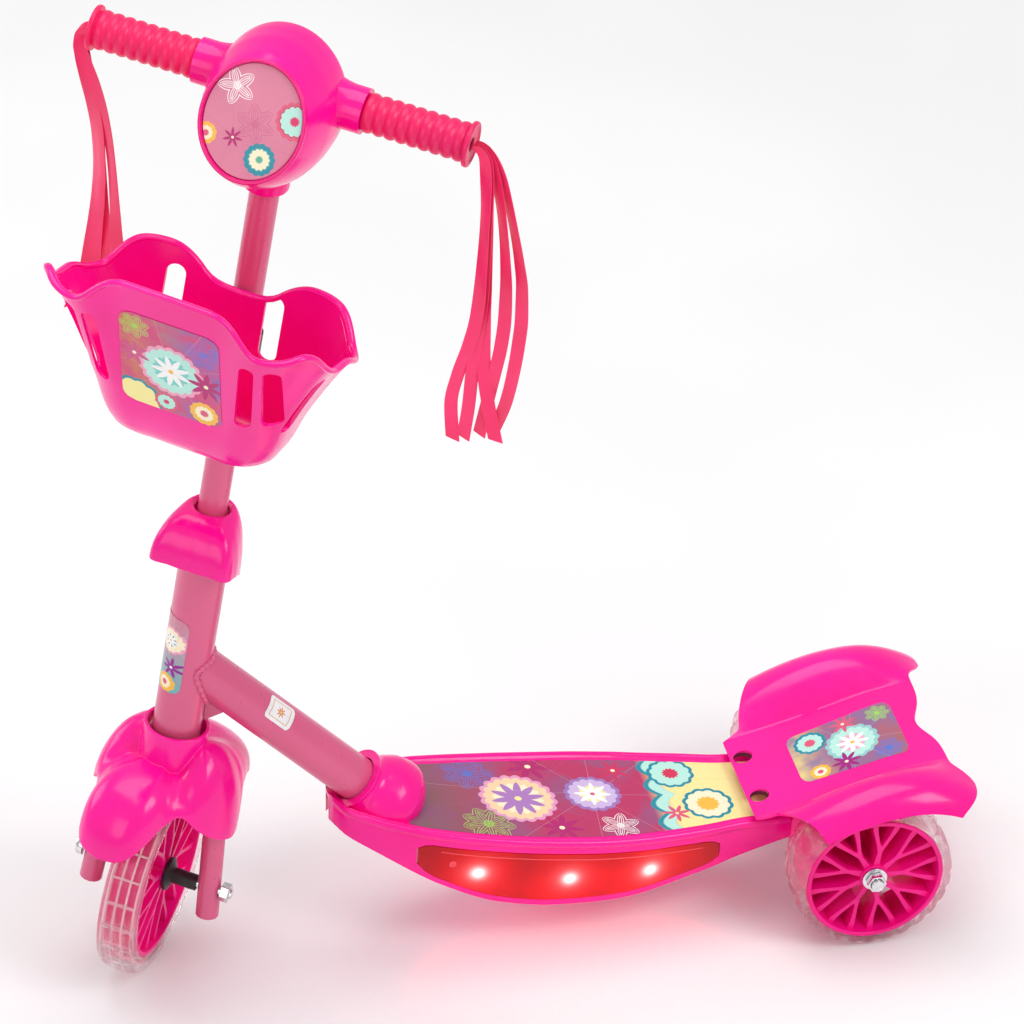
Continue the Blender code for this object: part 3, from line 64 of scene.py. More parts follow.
# ---------------------------------------------------------------- sizes (metres)
FRONT_WHEEL_R = 0.0666
FRONT_RIM_R = 0.0540
FRONT_WHEEL_W = 0.0240
REAR_WHEEL_R = 0.0513
REAR_RIM_R = 0.0440
REAR_WHEEL_W = 0.0350
TRACK = 0.1348
SPOKES = 9
TYRE_BARS = 22
WHEELBASE = 0.4420
STEM_R = 0.0090
HEAD_R = 0.0150
DOWN_R = 0.0143
BAR_H = 0.5600
GRIP_START = 0.0523
GRIP_END = 0.1180
GRIP_R = 0.0120
GRIP_RIBS = 9
SHELL_T = 0.0024
DECK_FRONT_Y = 0.1100
DECK_REAR_Y = 0.4000
DECK_LENGTH = DECK_REAR_Y - DECK_FRONT_Y
DECK_HALF_W = 0.0495
DECK_REAR_Z = 0.0720
DECK_RISE = 0.0390
DECK_DEPTH = 0.0425
KEEL_NARROWING = 0.86
RIM_DEPTH = 0.0062                     # from the deck's rim down to the top of its side wall
ARCH_TOP_Z = 0.1165
LENS_FROM = 0.17
LENS_TO = 0.84
LED_PLACES = (0.30, 0.50, 0.68)
LENS_CLEARANCE = 0.0005
DOWN_JOIN = 0.1583
BOSS_LENGTH = 0.0458
STICKER_LIFT = 0.0002
FENDER_T = 0.0018
FENDER_SCREW = (0.0207, WHEELBASE - 0.0590)
FENDER_HOLE_R = 0.0060
CREST_BEHIND = 0.0240                  # the arches are highest this far behind the rear axle
HUB_BOSS_R = 0.0090
STREAMER_W = 0.0080
STREAMER_T = 0.0006
STREAMER_PITCH = 0.0015
STREAMER_FAN = 2.2

# colours, linear
PINK = (1.0, 0.004, 0.330)
PINK_DEEP = (0.93, 0.001, 0.270)
ROSE = (0.710, 0.105, 0.245)
GRIP_PINK = (0.900, 0.014, 0.130)


# ---------------------------------------------------------------- frames
def axes_at(origin, x, z):
    """A frame from its origin, X axis and Z axis."""
    z = Vector(z).normalized()
    y = z.cross(Vector(x)).normalized()
    x = y.cross(z)
    return Matrix.Translation(origin) @ Matrix((x, y, z)).transposed().to_4x4()


STEERING = JOINTS["steering"]
AXLE = Vector(STEERING["pos_m"])
STEER = axes_at(AXLE, JOINTS["front_wheel_spin"]["axis"], STEERING["axis"])
HOME = Matrix.Translation(AXLE - Vector((0, 0, FRONT_WHEEL_R)))
HEAD = axes_at(AXLE, (1, 0, 0), STEERING["axis"])
BASKET = STEER @ Matrix.Rotation(math.radians(-3.0), 4, "Z")
FACE = STEER @ Matrix.Translation((0, -0.050, BAR_H)) @ Matrix.Rotation(math.radians(70), 4, "X")
NOSE = Vector((0, 0.1280, 0.1167))
DOWN_TOP = HOME.inverted() @ (HEAD @ Vector((0, 0, DOWN_JOIN)))
DOWN_DIR = (NOSE - DOWN_TOP).normalized()
SIDES = (("left", 1), ("right", -1))


# ---------------------------------------------------------------- mesh helpers
def smooth_through(points, t):
    """Value at t on a smooth curve through (t, value) points, flat where the curve turns."""
    if t <= points[0][0]:
        return points[0][1]
    if t >= points[-1][0]:
        return points[-1][1]
    slopes = []
    for i in range(len(points)):
        if i in (0, len(points) - 1):
            j = max(i, 1)
            slopes.append((points[j][1] - points[j - 1][1]) / (points[j][0] - points[j - 1][0]))
            continue
        before = (points[i][1] - points[i - 1][1]) / (points[i][0] - points[i - 1][0])
        after = (points[i + 1][1] - points[i][1]) / (points[i + 1][0] - points[i][0])
        slopes.append(0 if before * after <= 0 else 2 * before * after / (before + after))
    i = max(k for k in range(len(points) - 1) if points[k][0] <= t)
    (x0, y0), (x1, y1) = points[i], points[i + 1]
    span = x1 - x0
    s = (t - x0) / span
    rise = y0 * (1 + 2 * s) * (1 - s) ** 2 + y1 * s * s * (3 - 2 * s)
    return rise + span * (slopes[i] * s * (1 - s) ** 2 - slopes[i + 1] * s * s * (1 - s))


def loft(rings, closed=False, caps=True):
    """Points and faces through rings of equal count."""
    count = len(rings[0])
    verts = [p for ring in rings for p in ring]
    faces = []
    for r in range(len(rings) if closed else len(rings) - 1):
        a, b = r * count, (r + 1) % len(rings) * count
        for i in range(count):
            j = (i + 1) % count
            faces.append((a + i, a + j, b + j, b + i))
    if caps and not closed:
        faces.append(tuple(range(count)))
        faces.append(tuple(range((len(rings) - 1) * count, len(rings) * count)))
    return verts, faces


def around(count):
    """Angles of a full turn in equal steps."""
    return [2 * math.pi * k / count for k in range(count)]


def turned(profile, segments=96, along="Z"):
    """A body of revolution from a closed (radius, height) profile, about Z or X."""
    rings = []
    for a in around(segments):
        c, s = math.cos(a), math.sin(a)
        if along == "Z":
            rings.append([Vector((r * c, r * s, h)) for r, h in profile])
        else:
            rings.append([Vector((h, r * c, r * s)) for r, h in profile])
    return loft(rings, closed=True)


def prism(outline, low, high, axis):
    """A straight body with the same outline at both ends, which lie across one axis."""
    rings = []
    for h in (low, high):
        if axis == "X":
            rings.append([Vector((h, a, b)) for a, b in outline])
        elif axis == "Y":
            rings.append([Vector((a, h, b)) for a, b in outline])
        else:
            rings.append([Vector((a, b, h)) for a, b in outline])
    return loft(rings)


def rod(start, end, radius, segments=64):
    """A round bar between two points."""
    start, end = Vector(start), Vector(end)
    turn = (end - start).to_track_quat("Z", "Y").to_matrix()
    circle = [(radius * math.cos(a), radius * math.sin(a)) for a in around(segments)]
    return loft([[start + turn @ Vector((x, y, h)) for x, y in circle] for h in (0, (end - start).length)])


def oval(half_w, half_h, steps=96):
    """Points round an ellipse."""
    return [(half_w * math.cos(a), half_h * math.sin(a)) for a in around(steps)]


def stadium(centre, width, height, lean=0.0, steps=12):
    """An upright slot with round ends; lean moves its top sideways."""
    r = width / 2
    points = []
    for side in (1, -1):
        for k in range(steps + 1):
            a = math.pi * k / steps
            y = side * (height / 2 - r + r * math.sin(a))
            points.append((centre[0] + side * r * math.cos(a) + lean * y / height, centre[1] + y))
    return points


def sheet(across, along, point):
    """An open sheet through point(s, t), s from -1 to 1 across it and t from 0 to 1 along it."""
    verts = [point(2 * i / across - 1, j / along) for j in range(along + 1) for i in range(across + 1)]
    corners = [j * (across + 1) + i for j in range(along) for i in range(across)]
    return verts, [(a, a + 1, a + across + 2, a + across + 1) for a in corners]


def corner_cut(near_end, corner):
    """How far a rounded corner draws a sheet's side in, at a distance near_end from its end."""
    if near_end >= corner:
        return 0.0
    return corner - math.sqrt(corner ** 2 - (corner - near_end) ** 2)


def side_span(sign, near, far):
    """Low and high X between two distances from the middle, on one side."""
    return sorted((sign * near, sign * far))


def mirrored(shape):
    """The same shape on the other side of the middle plane."""
    return [Vector((-v.x, v.y, v.z)) for v in shape[0]], shape[1]


def mesh_object(name, shape):
    """A closed or open mesh with outward normals, from points and faces."""
    verts, faces = shape
    mesh = bpy.data.meshes.new(name)
    bm = bmesh.new()
    made = [bm.verts.new(v) for v in verts]
    for face in faces:
        if len(set(face)) > 2:
            bm.faces.new([made[i] for i in face])
    bmesh.ops.remove_doubles(bm, verts=bm.verts, dist=1e-6)
    bmesh.ops.dissolve_degenerate(bm, edges=bm.edges, dist=1e-7)
    bmesh.ops.recalc_face_normals(bm, faces=bm.faces)
    bm.to_mesh(mesh)
    bm.free()
    obj = bpy.data.objects.new(name, mesh)
    bpy.context.scene.collection.objects.link(obj)
    return obj


def joined(shapes):
    """One shape from several."""
    verts, faces = [], []
    for points, sides in shapes:
        faces += [tuple(i + len(verts) for i in side) for side in sides]
        verts += list(points)
    return verts, faces


def carve(obj, shape, operation="DIFFERENCE"):
    """Cut, join or trim obj's mesh with another shape, for good."""
    other = mesh_object("cutter", shape)
    mod = obj.modifiers.new("carve", "BOOLEAN")
    mod.operation = operation
    mod.solver = "EXACT"
    mod.object = other
    bpy.context.view_layer.update()
    graph = bpy.context.evaluated_depsgraph_get()
    mesh = bpy.data.meshes.new_from_object(obj.evaluated_get(graph))
    obj.modifiers.clear()
    old = obj.data
    obj.data = mesh
    bpy.data.meshes.remove(old)
    bpy.data.objects.remove(other)


def finish_edges(obj, width, angle=30):
    """Round the sharp edges, as a mould leaves them."""
    obj.data.shade_smooth()
    if width:
        mod = obj.modifiers.new("round_edges", "BEVEL")
        mod.width = width
        mod.segments = 2
        mod.limit_method = "ANGLE"
        mod.angle_limit = math.radians(angle)
        mod.use_clamp_overlap = True
    mod = obj.modifiers.new("normals", "WEIGHTED_NORMAL")
    mod.keep_sharp = True


def place(obj, where, body, mat, slot, *stands_for, edge=0.0, angle=30):
    """Put a piece in its frame, give it its material and let it ride on its body."""
    obj.matrix_world = where
    obj.data.materials.clear()
    obj.data.materials.append(mat)
    finish_edges(obj, edge, angle)
    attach(obj, body)
    if stands_for:
        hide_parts(*stands_for)
    return obj


# ---------------------------------------------------------------- node helpers
class Paint:
    """A node material under construction."""

    def __init__(self, name):
        self.mat = bpy.data.materials.new(name)
        self.mat.use_nodes = True
        self.tree = self.mat.node_tree
        self.shader = self.tree.nodes["Principled BSDF"]

    def node(self, kind, **values):
        made = self.tree.nodes.new(kind)
        for key, value in values.items():
            setattr(made, key, value)
        return made

    def wire(self, source, target):
        """Feed a socket from a number, a colour or another node's socket."""
        if isinstance(source, (int, float)):
            target.default_value = source
        elif isinstance(source, tuple):
            target.default_value = (*source, 1) if len(source) == 3 and target.type == "RGBA" else source
        else:
            self.tree.links.new(source, target)

    def set(self, **values):
        for key, value in values.items():
            self.wire(value, self.shader.inputs[key.replace("_", " ")])
        return self

    def place(self):
        return self.node("ShaderNodeTexCoord").outputs["Object"]

    def math(self, operation, a, b=None, c=None):
        made = self.node("ShaderNodeMath", operation=operation)
        for i, value in enumerate((a, b, c)):
            if value is not None:
                self.wire(value, made.inputs[i])
        return made.outputs[0]

    def add(self, a, b):
        return self.math("ADD", a, b)

    def less(self, a, b):
        return self.math("SUBTRACT", a, b)

    def times(self, a, b):
        return self.math("MULTIPLY", a, b)

    def size(self, a):
        return self.math("ABSOLUTE", a)

    def square_sum(self, a, b):
        return self.add(self.times(a, a), self.times(b, b))

    def apart(self):
        """X, Y and Z of the place on the piece."""
        made = self.node("ShaderNodeSeparateXYZ")
        self.wire(self.place(), made.inputs[0])
        return made.outputs

    def noise(self, scale, detail):
        made = self.node("ShaderNodeTexNoise")
        made.inputs["Scale"].default_value = scale
        made.inputs["Detail"].default_value = detail
        self.tree.links.new(self.place(), made.inputs["Vector"])
        return made.outputs["Fac"]

    def spread(self, value, low, high, to_low=0.0, to_high=1.0):
        made = self.node("ShaderNodeMapRange")
        self.wire(value, made.inputs["Value"])
        for key, number in (("From Min", low), ("From Max", high), ("To Min", to_low), ("To Max", to_high)):
            self.wire(number, made.inputs[key])
        return made.outputs["Result"]

    def drift(self, scale, detail, low, high, a, b):
        """A colour that wanders between a and b with a noise."""
        return self.mix(self.spread(self.noise(scale, detail), low, high), a, b)

    def rough(self, scale, detail, low, high):
        """A roughness that wanders between two values."""
        self.set(Roughness=self.spread(self.noise(scale, detail), 0.3, 0.7, low, high))

    def mix(self, share, a, b):
        made = self.node("ShaderNodeMix", data_type="RGBA")
        self.wire(share, made.inputs["Factor"])
        self.wire(a, made.inputs[6])
        self.wire(b, made.inputs[7])
        return made.outputs[2]

    def bump(self, height, strength, distance, before=None):
        made = self.node("ShaderNodeBump")
        made.inputs["Strength"].default_value = strength
        made.inputs["Distance"].default_value = distance
        self.wire(height, made.inputs["Height"])
        if before is not None:
            self.tree.links.new(before, made.inputs["Normal"])
        self.tree.links.new(made.outputs[0], self.shader.inputs["Normal"])
        return made.outputs[0]


def moulded(name, colour, deep, roughness=0.2, coat=0.12, soft=0.0):
    """Glossy moulded plastic: slow waves, fine grain, a little colour drift."""
    p = Paint(name)
    p.set(Base_Color=p.drift(14, 2, 0.35, 0.65, colour, deep), Metallic=0.0, IOR=1.49)
    p.set(Coat_Weight=coat, Coat_Roughness=0.08, Specular_IOR_Level=0.36)
    p.rough(160, 4, roughness - 0.04, roughness + 0.07)
    if soft:
        p.set(Subsurface_Weight=soft, Subsurface_Scale=0.004, Subsurface_Radius=(1.0, 0.25, 0.4))
    wave = p.bump(p.noise(55, 2), 0.12, 0.0006)
    p.bump(p.noise(1900, 2), 0.05, 0.0002, wave)
    return p.mat


def painted(name, colour):
    """Paint with a faint metallic gloss over steel tube."""
    p = Paint(name)
    worn = tuple(0.88 * c for c in colour)
    p.set(Base_Color=p.mix(p.spread(p.noise(9, 2), 0.35, 0.65, 0.0, 0.6), colour, worn), Metallic=0.10)
    p.set(Coat_Weight=0.3, Coat_Roughness=0.12)
    p.rough(160, 4, 0.27, 0.36)
    p.bump(p.noise(55, 2), 0.06, 0.0004)
    return p.mat


def plated(name, colour=(0.80, 0.80, 0.83), roughness=0.10):
    """Bright plating, a little hazy in places."""
    p = Paint(name)
    p.set(Base_Color=p.drift(300, 3, 0.4, 0.7, colour, tuple(0.8 * c for c in colour)), Metallic=1.0)
    p.rough(900, 3, roughness, roughness + 0.14)
    p.bump(p.noise(1400, 2), 0.06, 0.0002)
    return p.mat


def satin(name, colour, roughness=0.5):
    """Dull plastic with a fine grain."""
    p = Paint(name)
    p.set(Base_Color=p.drift(200, 3, 0.3, 0.7, colour, tuple(1.5 * c + 0.004 for c in colour)))
    p.rough(500, 3, roughness - 0.06, roughness + 0.08)
    p.bump(p.noise(2200, 3), 0.12, 0.0002)
    return p.mat


def gel(name):
    """Clear gel of the tyres, faintly pink and cloudy."""
    p = Paint(name)
    cloud = p.spread(p.noise(45, 3), 0.38, 0.62)
    p.set(Base_Color=p.mix(cloud, (1.0, 0.60, 0.68), (1.0, 0.93, 0.94)), IOR=1.33, Transmission_Weight=0.92)
    p.set(Roughness=p.spread(p.noise(90, 3), 0.35, 0.65, 0.02, 0.10))
    p.set(Alpha=p.spread(cloud, 0.0, 1.0, 0.62, 0.40))
    p.bump(p.noise(70, 2), 0.22, 0.0010)
    return p.mat


def glowing_red(name):
    """Red lens: clear plastic that the lamps behind light up, brightest in front of each lamp."""
    p = Paint(name)
    _, along, height = p.apart()
    glow = {0.0048: 0.0, 0.0110: 0.0, 0.0230: 0.0}
    for share in LED_PLACES:
        square = p.square_sum(p.less(along, deck_y(share)), p.less(height, lamp_height(share)))
        for reach in glow:
            glow[reach] = p.add(glow[reach], p.math("POWER", math.e, p.times(square, -1 / reach ** 2)))
    core, halo, wide = glow.values()
    warm = p.mix(p.math("MINIMUM", halo, 1.0), (0.90, 0.0, 0.004), (1.0, 0.17, 0.19))
    hot = p.mix(p.math("MINIMUM", core, 1.0), warm, (1.0, 0.88, 0.86))
    p.set(Base_Color=p.drift(40, 2, 0.35, 0.65, (0.42, 0.0, 0.004), (0.30, 0.0, 0.004)), Emission_Color=hot)
    p.set(Roughness=0.14, Coat_Weight=0.1, Coat_Roughness=0.06, IOR=1.5, Specular_IOR_Level=0.25)
    power = p.add(p.times(wide, 0.62), p.times(core, 1.4))
    p.set(Emission_Strength=p.add(power, 0.10))
    ribs = p.math("SINE", p.times(height, 2 * math.pi / 0.0016))
    p.bump(ribs, 0.04, 0.0002)
    return p.mat


# ---------------------------------------------------------------- sticker patterns
class Sticker(Paint):
    """Glossy print: a ground with flowers and scalloped rounds, placed in millimetres on two local axes."""

    def __init__(self, name, across, along, middle=0.0):
        super().__init__(name)
        place = self.apart()
        self.u = self.times(place[across], 1000)
        self.v = self.times(place[along], 1000)
        if middle:
            self.v = self.less(self.v, middle)
        self.colour = None

    def polar(self, x, y, turn=0.0):
        du, dv = self.less(self.u, x), self.less(self.v, y)
        return self.math("SQRT", self.square_sum(du, dv)), self.add(self.math("ARCTAN2", dv, du), turn)

    def lay(self, mask, colour):
        self.colour = self.mix(mask, self.colour, colour)

    def below(self, value, limit, soft=0.12):
        return self.spread(value, limit + soft, limit - soft)

    def petals(self, r, angle, count, size, slim):
        """Below 0 inside the petals, above 0 outside."""
        part = 2 * math.pi / count
        off = self.size(self.math("WRAP", angle, part / 2, -part / 2))
        reach = self.math("MINIMUM", self.math("DIVIDE", r, size), 1.0)
        inside = self.math("MAXIMUM", self.math("SINE", self.times(reach, math.pi)), 0.0)
        return self.less(self.times(off, r), self.times(self.math("POWER", inside, 0.65), slim * size))

    def daisy(self, x, y, size, colour, heart, count=8, turn=0.0):
        r, angle = self.polar(x, y, turn)
        self.lay(self.below(self.petals(r, angle, count, size, 0.15), 0.0), colour)
        self.lay(self.below(r, size * 0.13), heart)

    def line_flower(self, x, y, size, colour, count=5, turn=0.0, line=0.22):
        r, angle = self.polar(x, y, turn)
        for share, slim, weight in ((1.0, 0.30, 1.0), (0.90, 0.17, 0.7), (0.78, 0.07, 0.7)):
            edge = self.size(self.petals(r, angle, count, size * share, slim))
            self.lay(self.times(self.below(edge, line * weight), self.below(r, size * share)), colour)
        self.lay(self.below(self.size(self.less(r, size * 0.16)), line), colour)

    def scallop(self, x, y, size, rings, count=14):
        r, angle = self.polar(x, y)
        lobe = self.size(self.math("SINE", self.times(angle, count / 2)))
        edge = self.less(r, self.times(lobe, size * 0.09))
        for share, colour in rings:
            self.lay(self.below(edge, size * share), colour)

    def done(self):
        self.set(Base_Color=self.colour, Coat_Weight=0.1, Coat_Roughness=0.05, Specular_IOR_Level=0.3)
        self.rough(300, 3, 0.13, 0.22)
        self.bump(self.noise(260, 2), 0.06, 0.0003)
        return self.mat


MAUVE = (0.740, 0.225, 0.340)
WHITE = (0.95, 0.93, 0.92)
MAGENTA = (0.46, 0.012, 0.160)
BLUE = (0.03, 0.20, 0.74)
GREEN = (0.34, 0.74, 0.08)
TEAL = (0.015, 0.27, 0.36)
MINT = (0.48, 0.82, 0.72)
YELLOW = (0.94, 0.84, 0.34)
ORANGE = (0.93, 0.50, 0.06)
CORAL = (0.74, 0.10, 0.20)
CREAM = (0.96, 0.86, 0.60)
RED_ROUND = ((1.0, CORAL), (0.80, (0.55, 0.04, 0.11)), (0.74, MINT), (0.20, (0.70, 0.02, 0.14)))
TEAL_ROUND = ((1.0, TEAL), (0.70, (0.05, 0.42, 0.40)), (0.62, CREAM), (0.18, (0.10, 0.45, 0.30)))
GOLD_ROUND = ((1.0, ORANGE), (0.62, CREAM), (0.25, CORAL))


def face_sticker():
    s = Sticker("face_print", "X", "Y")
    s.colour = s.drift(30, 2, 0.35, 0.65, MAUVE, (0.68, 0.20, 0.32))
    s.line_flower(-14, 17.5, 11.5, WHITE, 5, 0.45, 0.3)
    s.line_flower(2, -1, 12, (0.58, 0.10, 0.24), 6, 0.2, 0.22)
    s.scallop(24, 7, 10.5, RED_ROUND)
    s.scallop(9.5, -20, 8.8, TEAL_ROUND)
    s.scallop(-25, -14, 6.0, GOLD_ROUND, 10)
    s.daisy(-9, -12, 6.0, MAGENTA, CREAM, 7)
    return s.done()


def basket_sticker():
    s = Sticker("basket_print", "X", "Z", 424.0)
    ground = s.mix(s.spread(s.u, -20, 22), (0.60, 0.20, 0.10), (0.26, 0.13, 0.46))
    s.colour = s.drift(60, 3, 0.35, 0.6, ground, (0.66, 0.06, 0.20))
    s.scallop(-24, -36, 17, ((1.0, TEAL), (0.86, YELLOW)), 12)
    rings = ((1.0, (0.88, 0.36, 0.52)), (0.86, MINT), (0.52, (0.20, 0.62, 0.58)), (0.22, CREAM))
    s.scallop(0, -2, 19, rings, 18)
    s.daisy(0, -2, 12.5, WHITE, ORANGE, 9, 0.3)
    s.daisy(-23, 4, 10, (0.62, 0.09, 0.26), CREAM, 7, 0.3)
    s.daisy(22, -5, 11.5, MAGENTA, CREAM, 8, 0.1)
    s.line_flower(21, 22, 12, BLUE, 7, 0.2, 0.26)
    s.line_flower(-22, 27, 10, GREEN, 7, 0.5, 0.26)
    s.scallop(20, -29, 8.5, GOLD_ROUND, 12)
    s.scallop(-4, -30, 7.0, RED_ROUND, 12)
    return s.done()


def deck_sticker():
    s = Sticker("deck_print", "X", "Y")
    ground = s.mix(s.spread(s.v, 165, 235), (0.22, 0.12, 0.13), (0.50, 0.035, 0.13))
    ground = s.mix(s.spread(s.noise(28, 3), 0.42, 0.62, 0.0, 0.75), ground, (0.30, 0.09, 0.22))
    s.colour = s.mix(s.spread(s.v, 316, 330), ground, (0.90, 0.80, 0.34))
    wave = s.size(s.math("SINE", s.times(s.u, 0.16)))
    shore = s.add(s.v, s.times(wave, 7.0))
    for start, colour in ((322, TEAL), (325.5, MINT)):
        s.lay(s.times(s.spread(shore, start, start + 1), s.below(shore, 334, 0.4)), colour)
    s.line_flower(-26, 205, 17, BLUE, 7, 0.25, 0.32)
    s.line_flower(27, 207, 17, GREEN, 9, 0.0, 0.32)
    s.daisy(-34, 246, 15, (0.45, 0.015, 0.15), CREAM, 7, 0.4)
    s.daisy(31, 253, 14, MAGENTA, CREAM, 8, 0.2)
    s.scallop(0, 232, 23, ((1.0, (0.80, 0.34, 0.55)), (0.88, (0.90, 0.66, 0.40)), (0.62, CREAM)), 20)
    s.daisy(0, 232, 17.5, (0.42, 0.20, 0.52), YELLOW, 10, 0.15)
    s.scallop(-4, 281, 17, ((1.0, (0.34, 0.18, 0.48)), (0.84, (0.62, 0.48, 0.76)), (0.44, YELLOW)), 16)
    s.daisy(-4, 281, 12.0, WHITE, CORAL, 8, 0.1)
    s.line_flower(30, 291, 13, WHITE, 6, 0.2, 0.32)
    s.daisy(-28, 300, 11, (0.60, 0.03, 0.12), CREAM, 7)
    s.scallop(-22, 336, 14, ((1.0, TEAL), (0.84, MINT), (0.30, (0.66, 0.03, 0.10))), 12)
    s.scallop(12, 352, 15, ((1.0, TEAL), (0.84, CREAM), (0.40, ORANGE)), 12)
    s.daisy(20, 330, 9, CORAL, YELLOW, 7)
    return s.done()


def rear_sticker():
    s = Sticker("rear_print", "X", "Y")
    ground = s.mix(s.spread(s.v, 412, 436), (0.80, 0.64, 0.26), (0.42, 0.13, 0.17))
    s.colour = s.mix(s.spread(s.noise(45, 3), 0.40, 0.62, 0, 0.8), ground, (0.26, 0.16, 0.36))
    s.scallop(-12, 424, 9.5, ((1.0, TEAL), (0.78, MINT), (0.30, CORAL)), 12)
    s.scallop(1, 448, 15.5, ((1.0, (0.30, 0.60, 0.60)), (0.84, MINT), (0.46, (0.86, 0.40, 0.55))), 16)
    s.daisy(1, 448, 10.5, WHITE, ORANGE, 8, 0.2)
    s.daisy(17, 440, 9.5, (0.36, 0.015, 0.22), CREAM, 8)
    s.daisy(-19, 447, 8.5, CORAL, CREAM, 7)
    s.line_flower(18, 467, 9.5, BLUE, 7, 0.2, 0.26)
    s.line_flower(-18, 469, 8.0, GREEN, 7, 0.4, 0.26)
    s.scallop(18, 423, 6.0, GOLD_ROUND, 10)
    return s.done()


def tube_sticker():
    s = Sticker("tube_print", "X", "Z", 162.0)
    s.colour = s.mix(s.spread(s.v, -26, 30), (0.10, 0.48, 0.50), (0.66, 0.24, 0.34))
    s.scallop(6, 14, 8.5, ((1.0, (0.88, 0.36, 0.52)), (0.84, CREAM), (0.40, TEAL)), 14)
    s.daisy(6, 14, 5.8, WHITE, ORANGE, 8)
    s.daisy(9, -4, 7.0, (0.30, 0.02, 0.28), WHITE, 7, 0.3)
    s.scallop(6, -16, 6.0, GOLD_ROUND, 10)
    return s.done()


# ---------------------------------------------------------------- camera, light and floor
def studio():
    """Camera, soft white light, a red spot under each lamp, and the floor."""
    azimuth, elevation, roll = (math.radians(a) for a in (76.1, 34.4, 1.3))
    back = Vector((math.sin(azimuth) * math.cos(elevation), -math.cos(azimuth) * math.cos(elevation),
                   math.sin(elevation)))
    right = Vector((math.cos(azimuth), math.sin(azimuth), 0))
    up = back.cross(right)
    across = math.cos(roll) * right + math.sin(roll) * up
    upward = math.cos(roll) * up - math.sin(roll) * right
    data = bpy.data.cameras.new("camera")
    data.sensor_width = 36
    data.lens = 236.8
    camera = bpy.data.objects.new("camera", data)
    bpy.context.scene.collection.objects.link(camera)
    turn = Matrix((across, upward, back)).transposed().to_4x4()
    camera.matrix_world = Matrix.Translation(HOME @ Vector((3.2727, -0.5860, 2.6118))) @ turn
    bpy.context.scene.camera = camera

    world = bpy.data.worlds.new("studio")
    world.use_nodes = True
    world.node_tree.nodes["Background"].inputs["Color"].default_value = (1, 1, 1, 1)
    world.node_tree.nodes["Background"].inputs["Strength"].default_value = 0.56
    bpy.context.scene.world = world
    middle = Vector((0, 0, 0.25))
    panels = (("key", (1.6, 1.5, 2.4), 1.3, 30), ("fill", (1.9, -2.1, 1.5), 1.6, 14),
              ("top", (-0.4, -0.2, 2.8), 1.8, 27), ("rim", (-1.5, -2.0, 1.2), 1.2, 12))
    for name, where, size, power in panels:
        data = bpy.data.lights.new(name, "AREA")
        data.shape = "SQUARE"
        data.size = size
        data.energy = power
        lamp = bpy.data.objects.new(name, data)
        bpy.context.scene.collection.objects.link(lamp)
        lamp.location = where
        lamp.rotation_euler = (middle - Vector(where)).to_track_quat("-Z", "Y").to_euler()

    for share, reach, power in zip(LED_PLACES, (0.010, 0.012, 0.010), (0.256, 0.288, 0.256)):
        data = bpy.data.lights.new("lamp_glow", "SPOT")
        data.color = (1.0, 0.0, 0.01)
        data.energy = power
        data.spot_size = math.radians(95)
        data.spot_blend = 1.0
        data.shadow_soft_size = reach
        lamp = bpy.data.objects.new("lamp_glow", data)
        bpy.context.scene.collection.objects.link(lamp)
        lamp.location = HOME @ Vector((0.058, deck_y(share), 0.050))
        lamp.rotation_euler = Vector((0.25, 0, -1)).to_track_quat("-Z", "Y").to_euler()

    p = Paint("floor")
    p.set(Base_Color=p.drift(3, 2, 0.4, 0.6, (0.93, 0.93, 0.93), (0.90, 0.90, 0.91)), Roughness=0.55)
    corners = [Vector((x, y, 0)) for x, y in ((-9, -9), (9, -9), (9, 9), (-9, 9))]
    floor = mesh_object("floor", (corners, [(0, 1, 2, 3)]))
    floor.location.z = CAD_BOX[0][2]
    floor.data.materials.append(p.mat)


# ---------------------------------------------------------------- deck shape
def deck_at(t):
    """Half width, rim height and keel height at share t of the deck's length."""
    plan = ((0, 0.10), (0.03, 0.42), (0.076, 0.60), (0.13, 0.727), (0.224, 0.87), (0.338, 0.95),
            (0.448, 0.99), (0.552, 1.0), (0.655, 0.97), (0.724, 0.92), (0.81, 0.85), (0.9, 0.76), (1, 0.73))
    keel = ((0, -0.45), (0.076, -0.19), (0.224, 0.42), (0.348, 0.80), (0.479, 0.965), (0.607, 1.0),
            (0.797, 0.80), (1, 0.47))
    top = DECK_REAR_Z + DECK_RISE * (1 - t) ** 1.75
    return DECK_HALF_W * smooth_through(plan, t), top, DECK_REAR_Z - DECK_DEPTH * smooth_through(keel, t)


def deck_y(t):
    """Place along the scooter at share t of the deck's length."""
    return DECK_FRONT_Y + t * DECK_LENGTH


def lamp_height(t):
    """Height of a lamp behind the lens, a little under the middle of the deck's side."""
    _, top, keel = deck_at(t)
    return (top + keel) / 2 - 0.004


def deck_side(t, levels):
    """(x, z) points down the deck's side wall, from under the rim to the keel."""
    half, top, keel = deck_at(t)
    s = min(1.0, half / 0.030)
    side_top, foot, depth = half - 0.0022 * s, KEEL_NARROWING * half, top - keel
    points = []
    for k in range(levels + 1):
        share = k / levels
        x = foot + (side_top - foot) * math.cos(math.pi / 2 * share)
        points.append((x, top - RIM_DEPTH - (depth - RIM_DEPTH) * share ** 0.9))
    return points


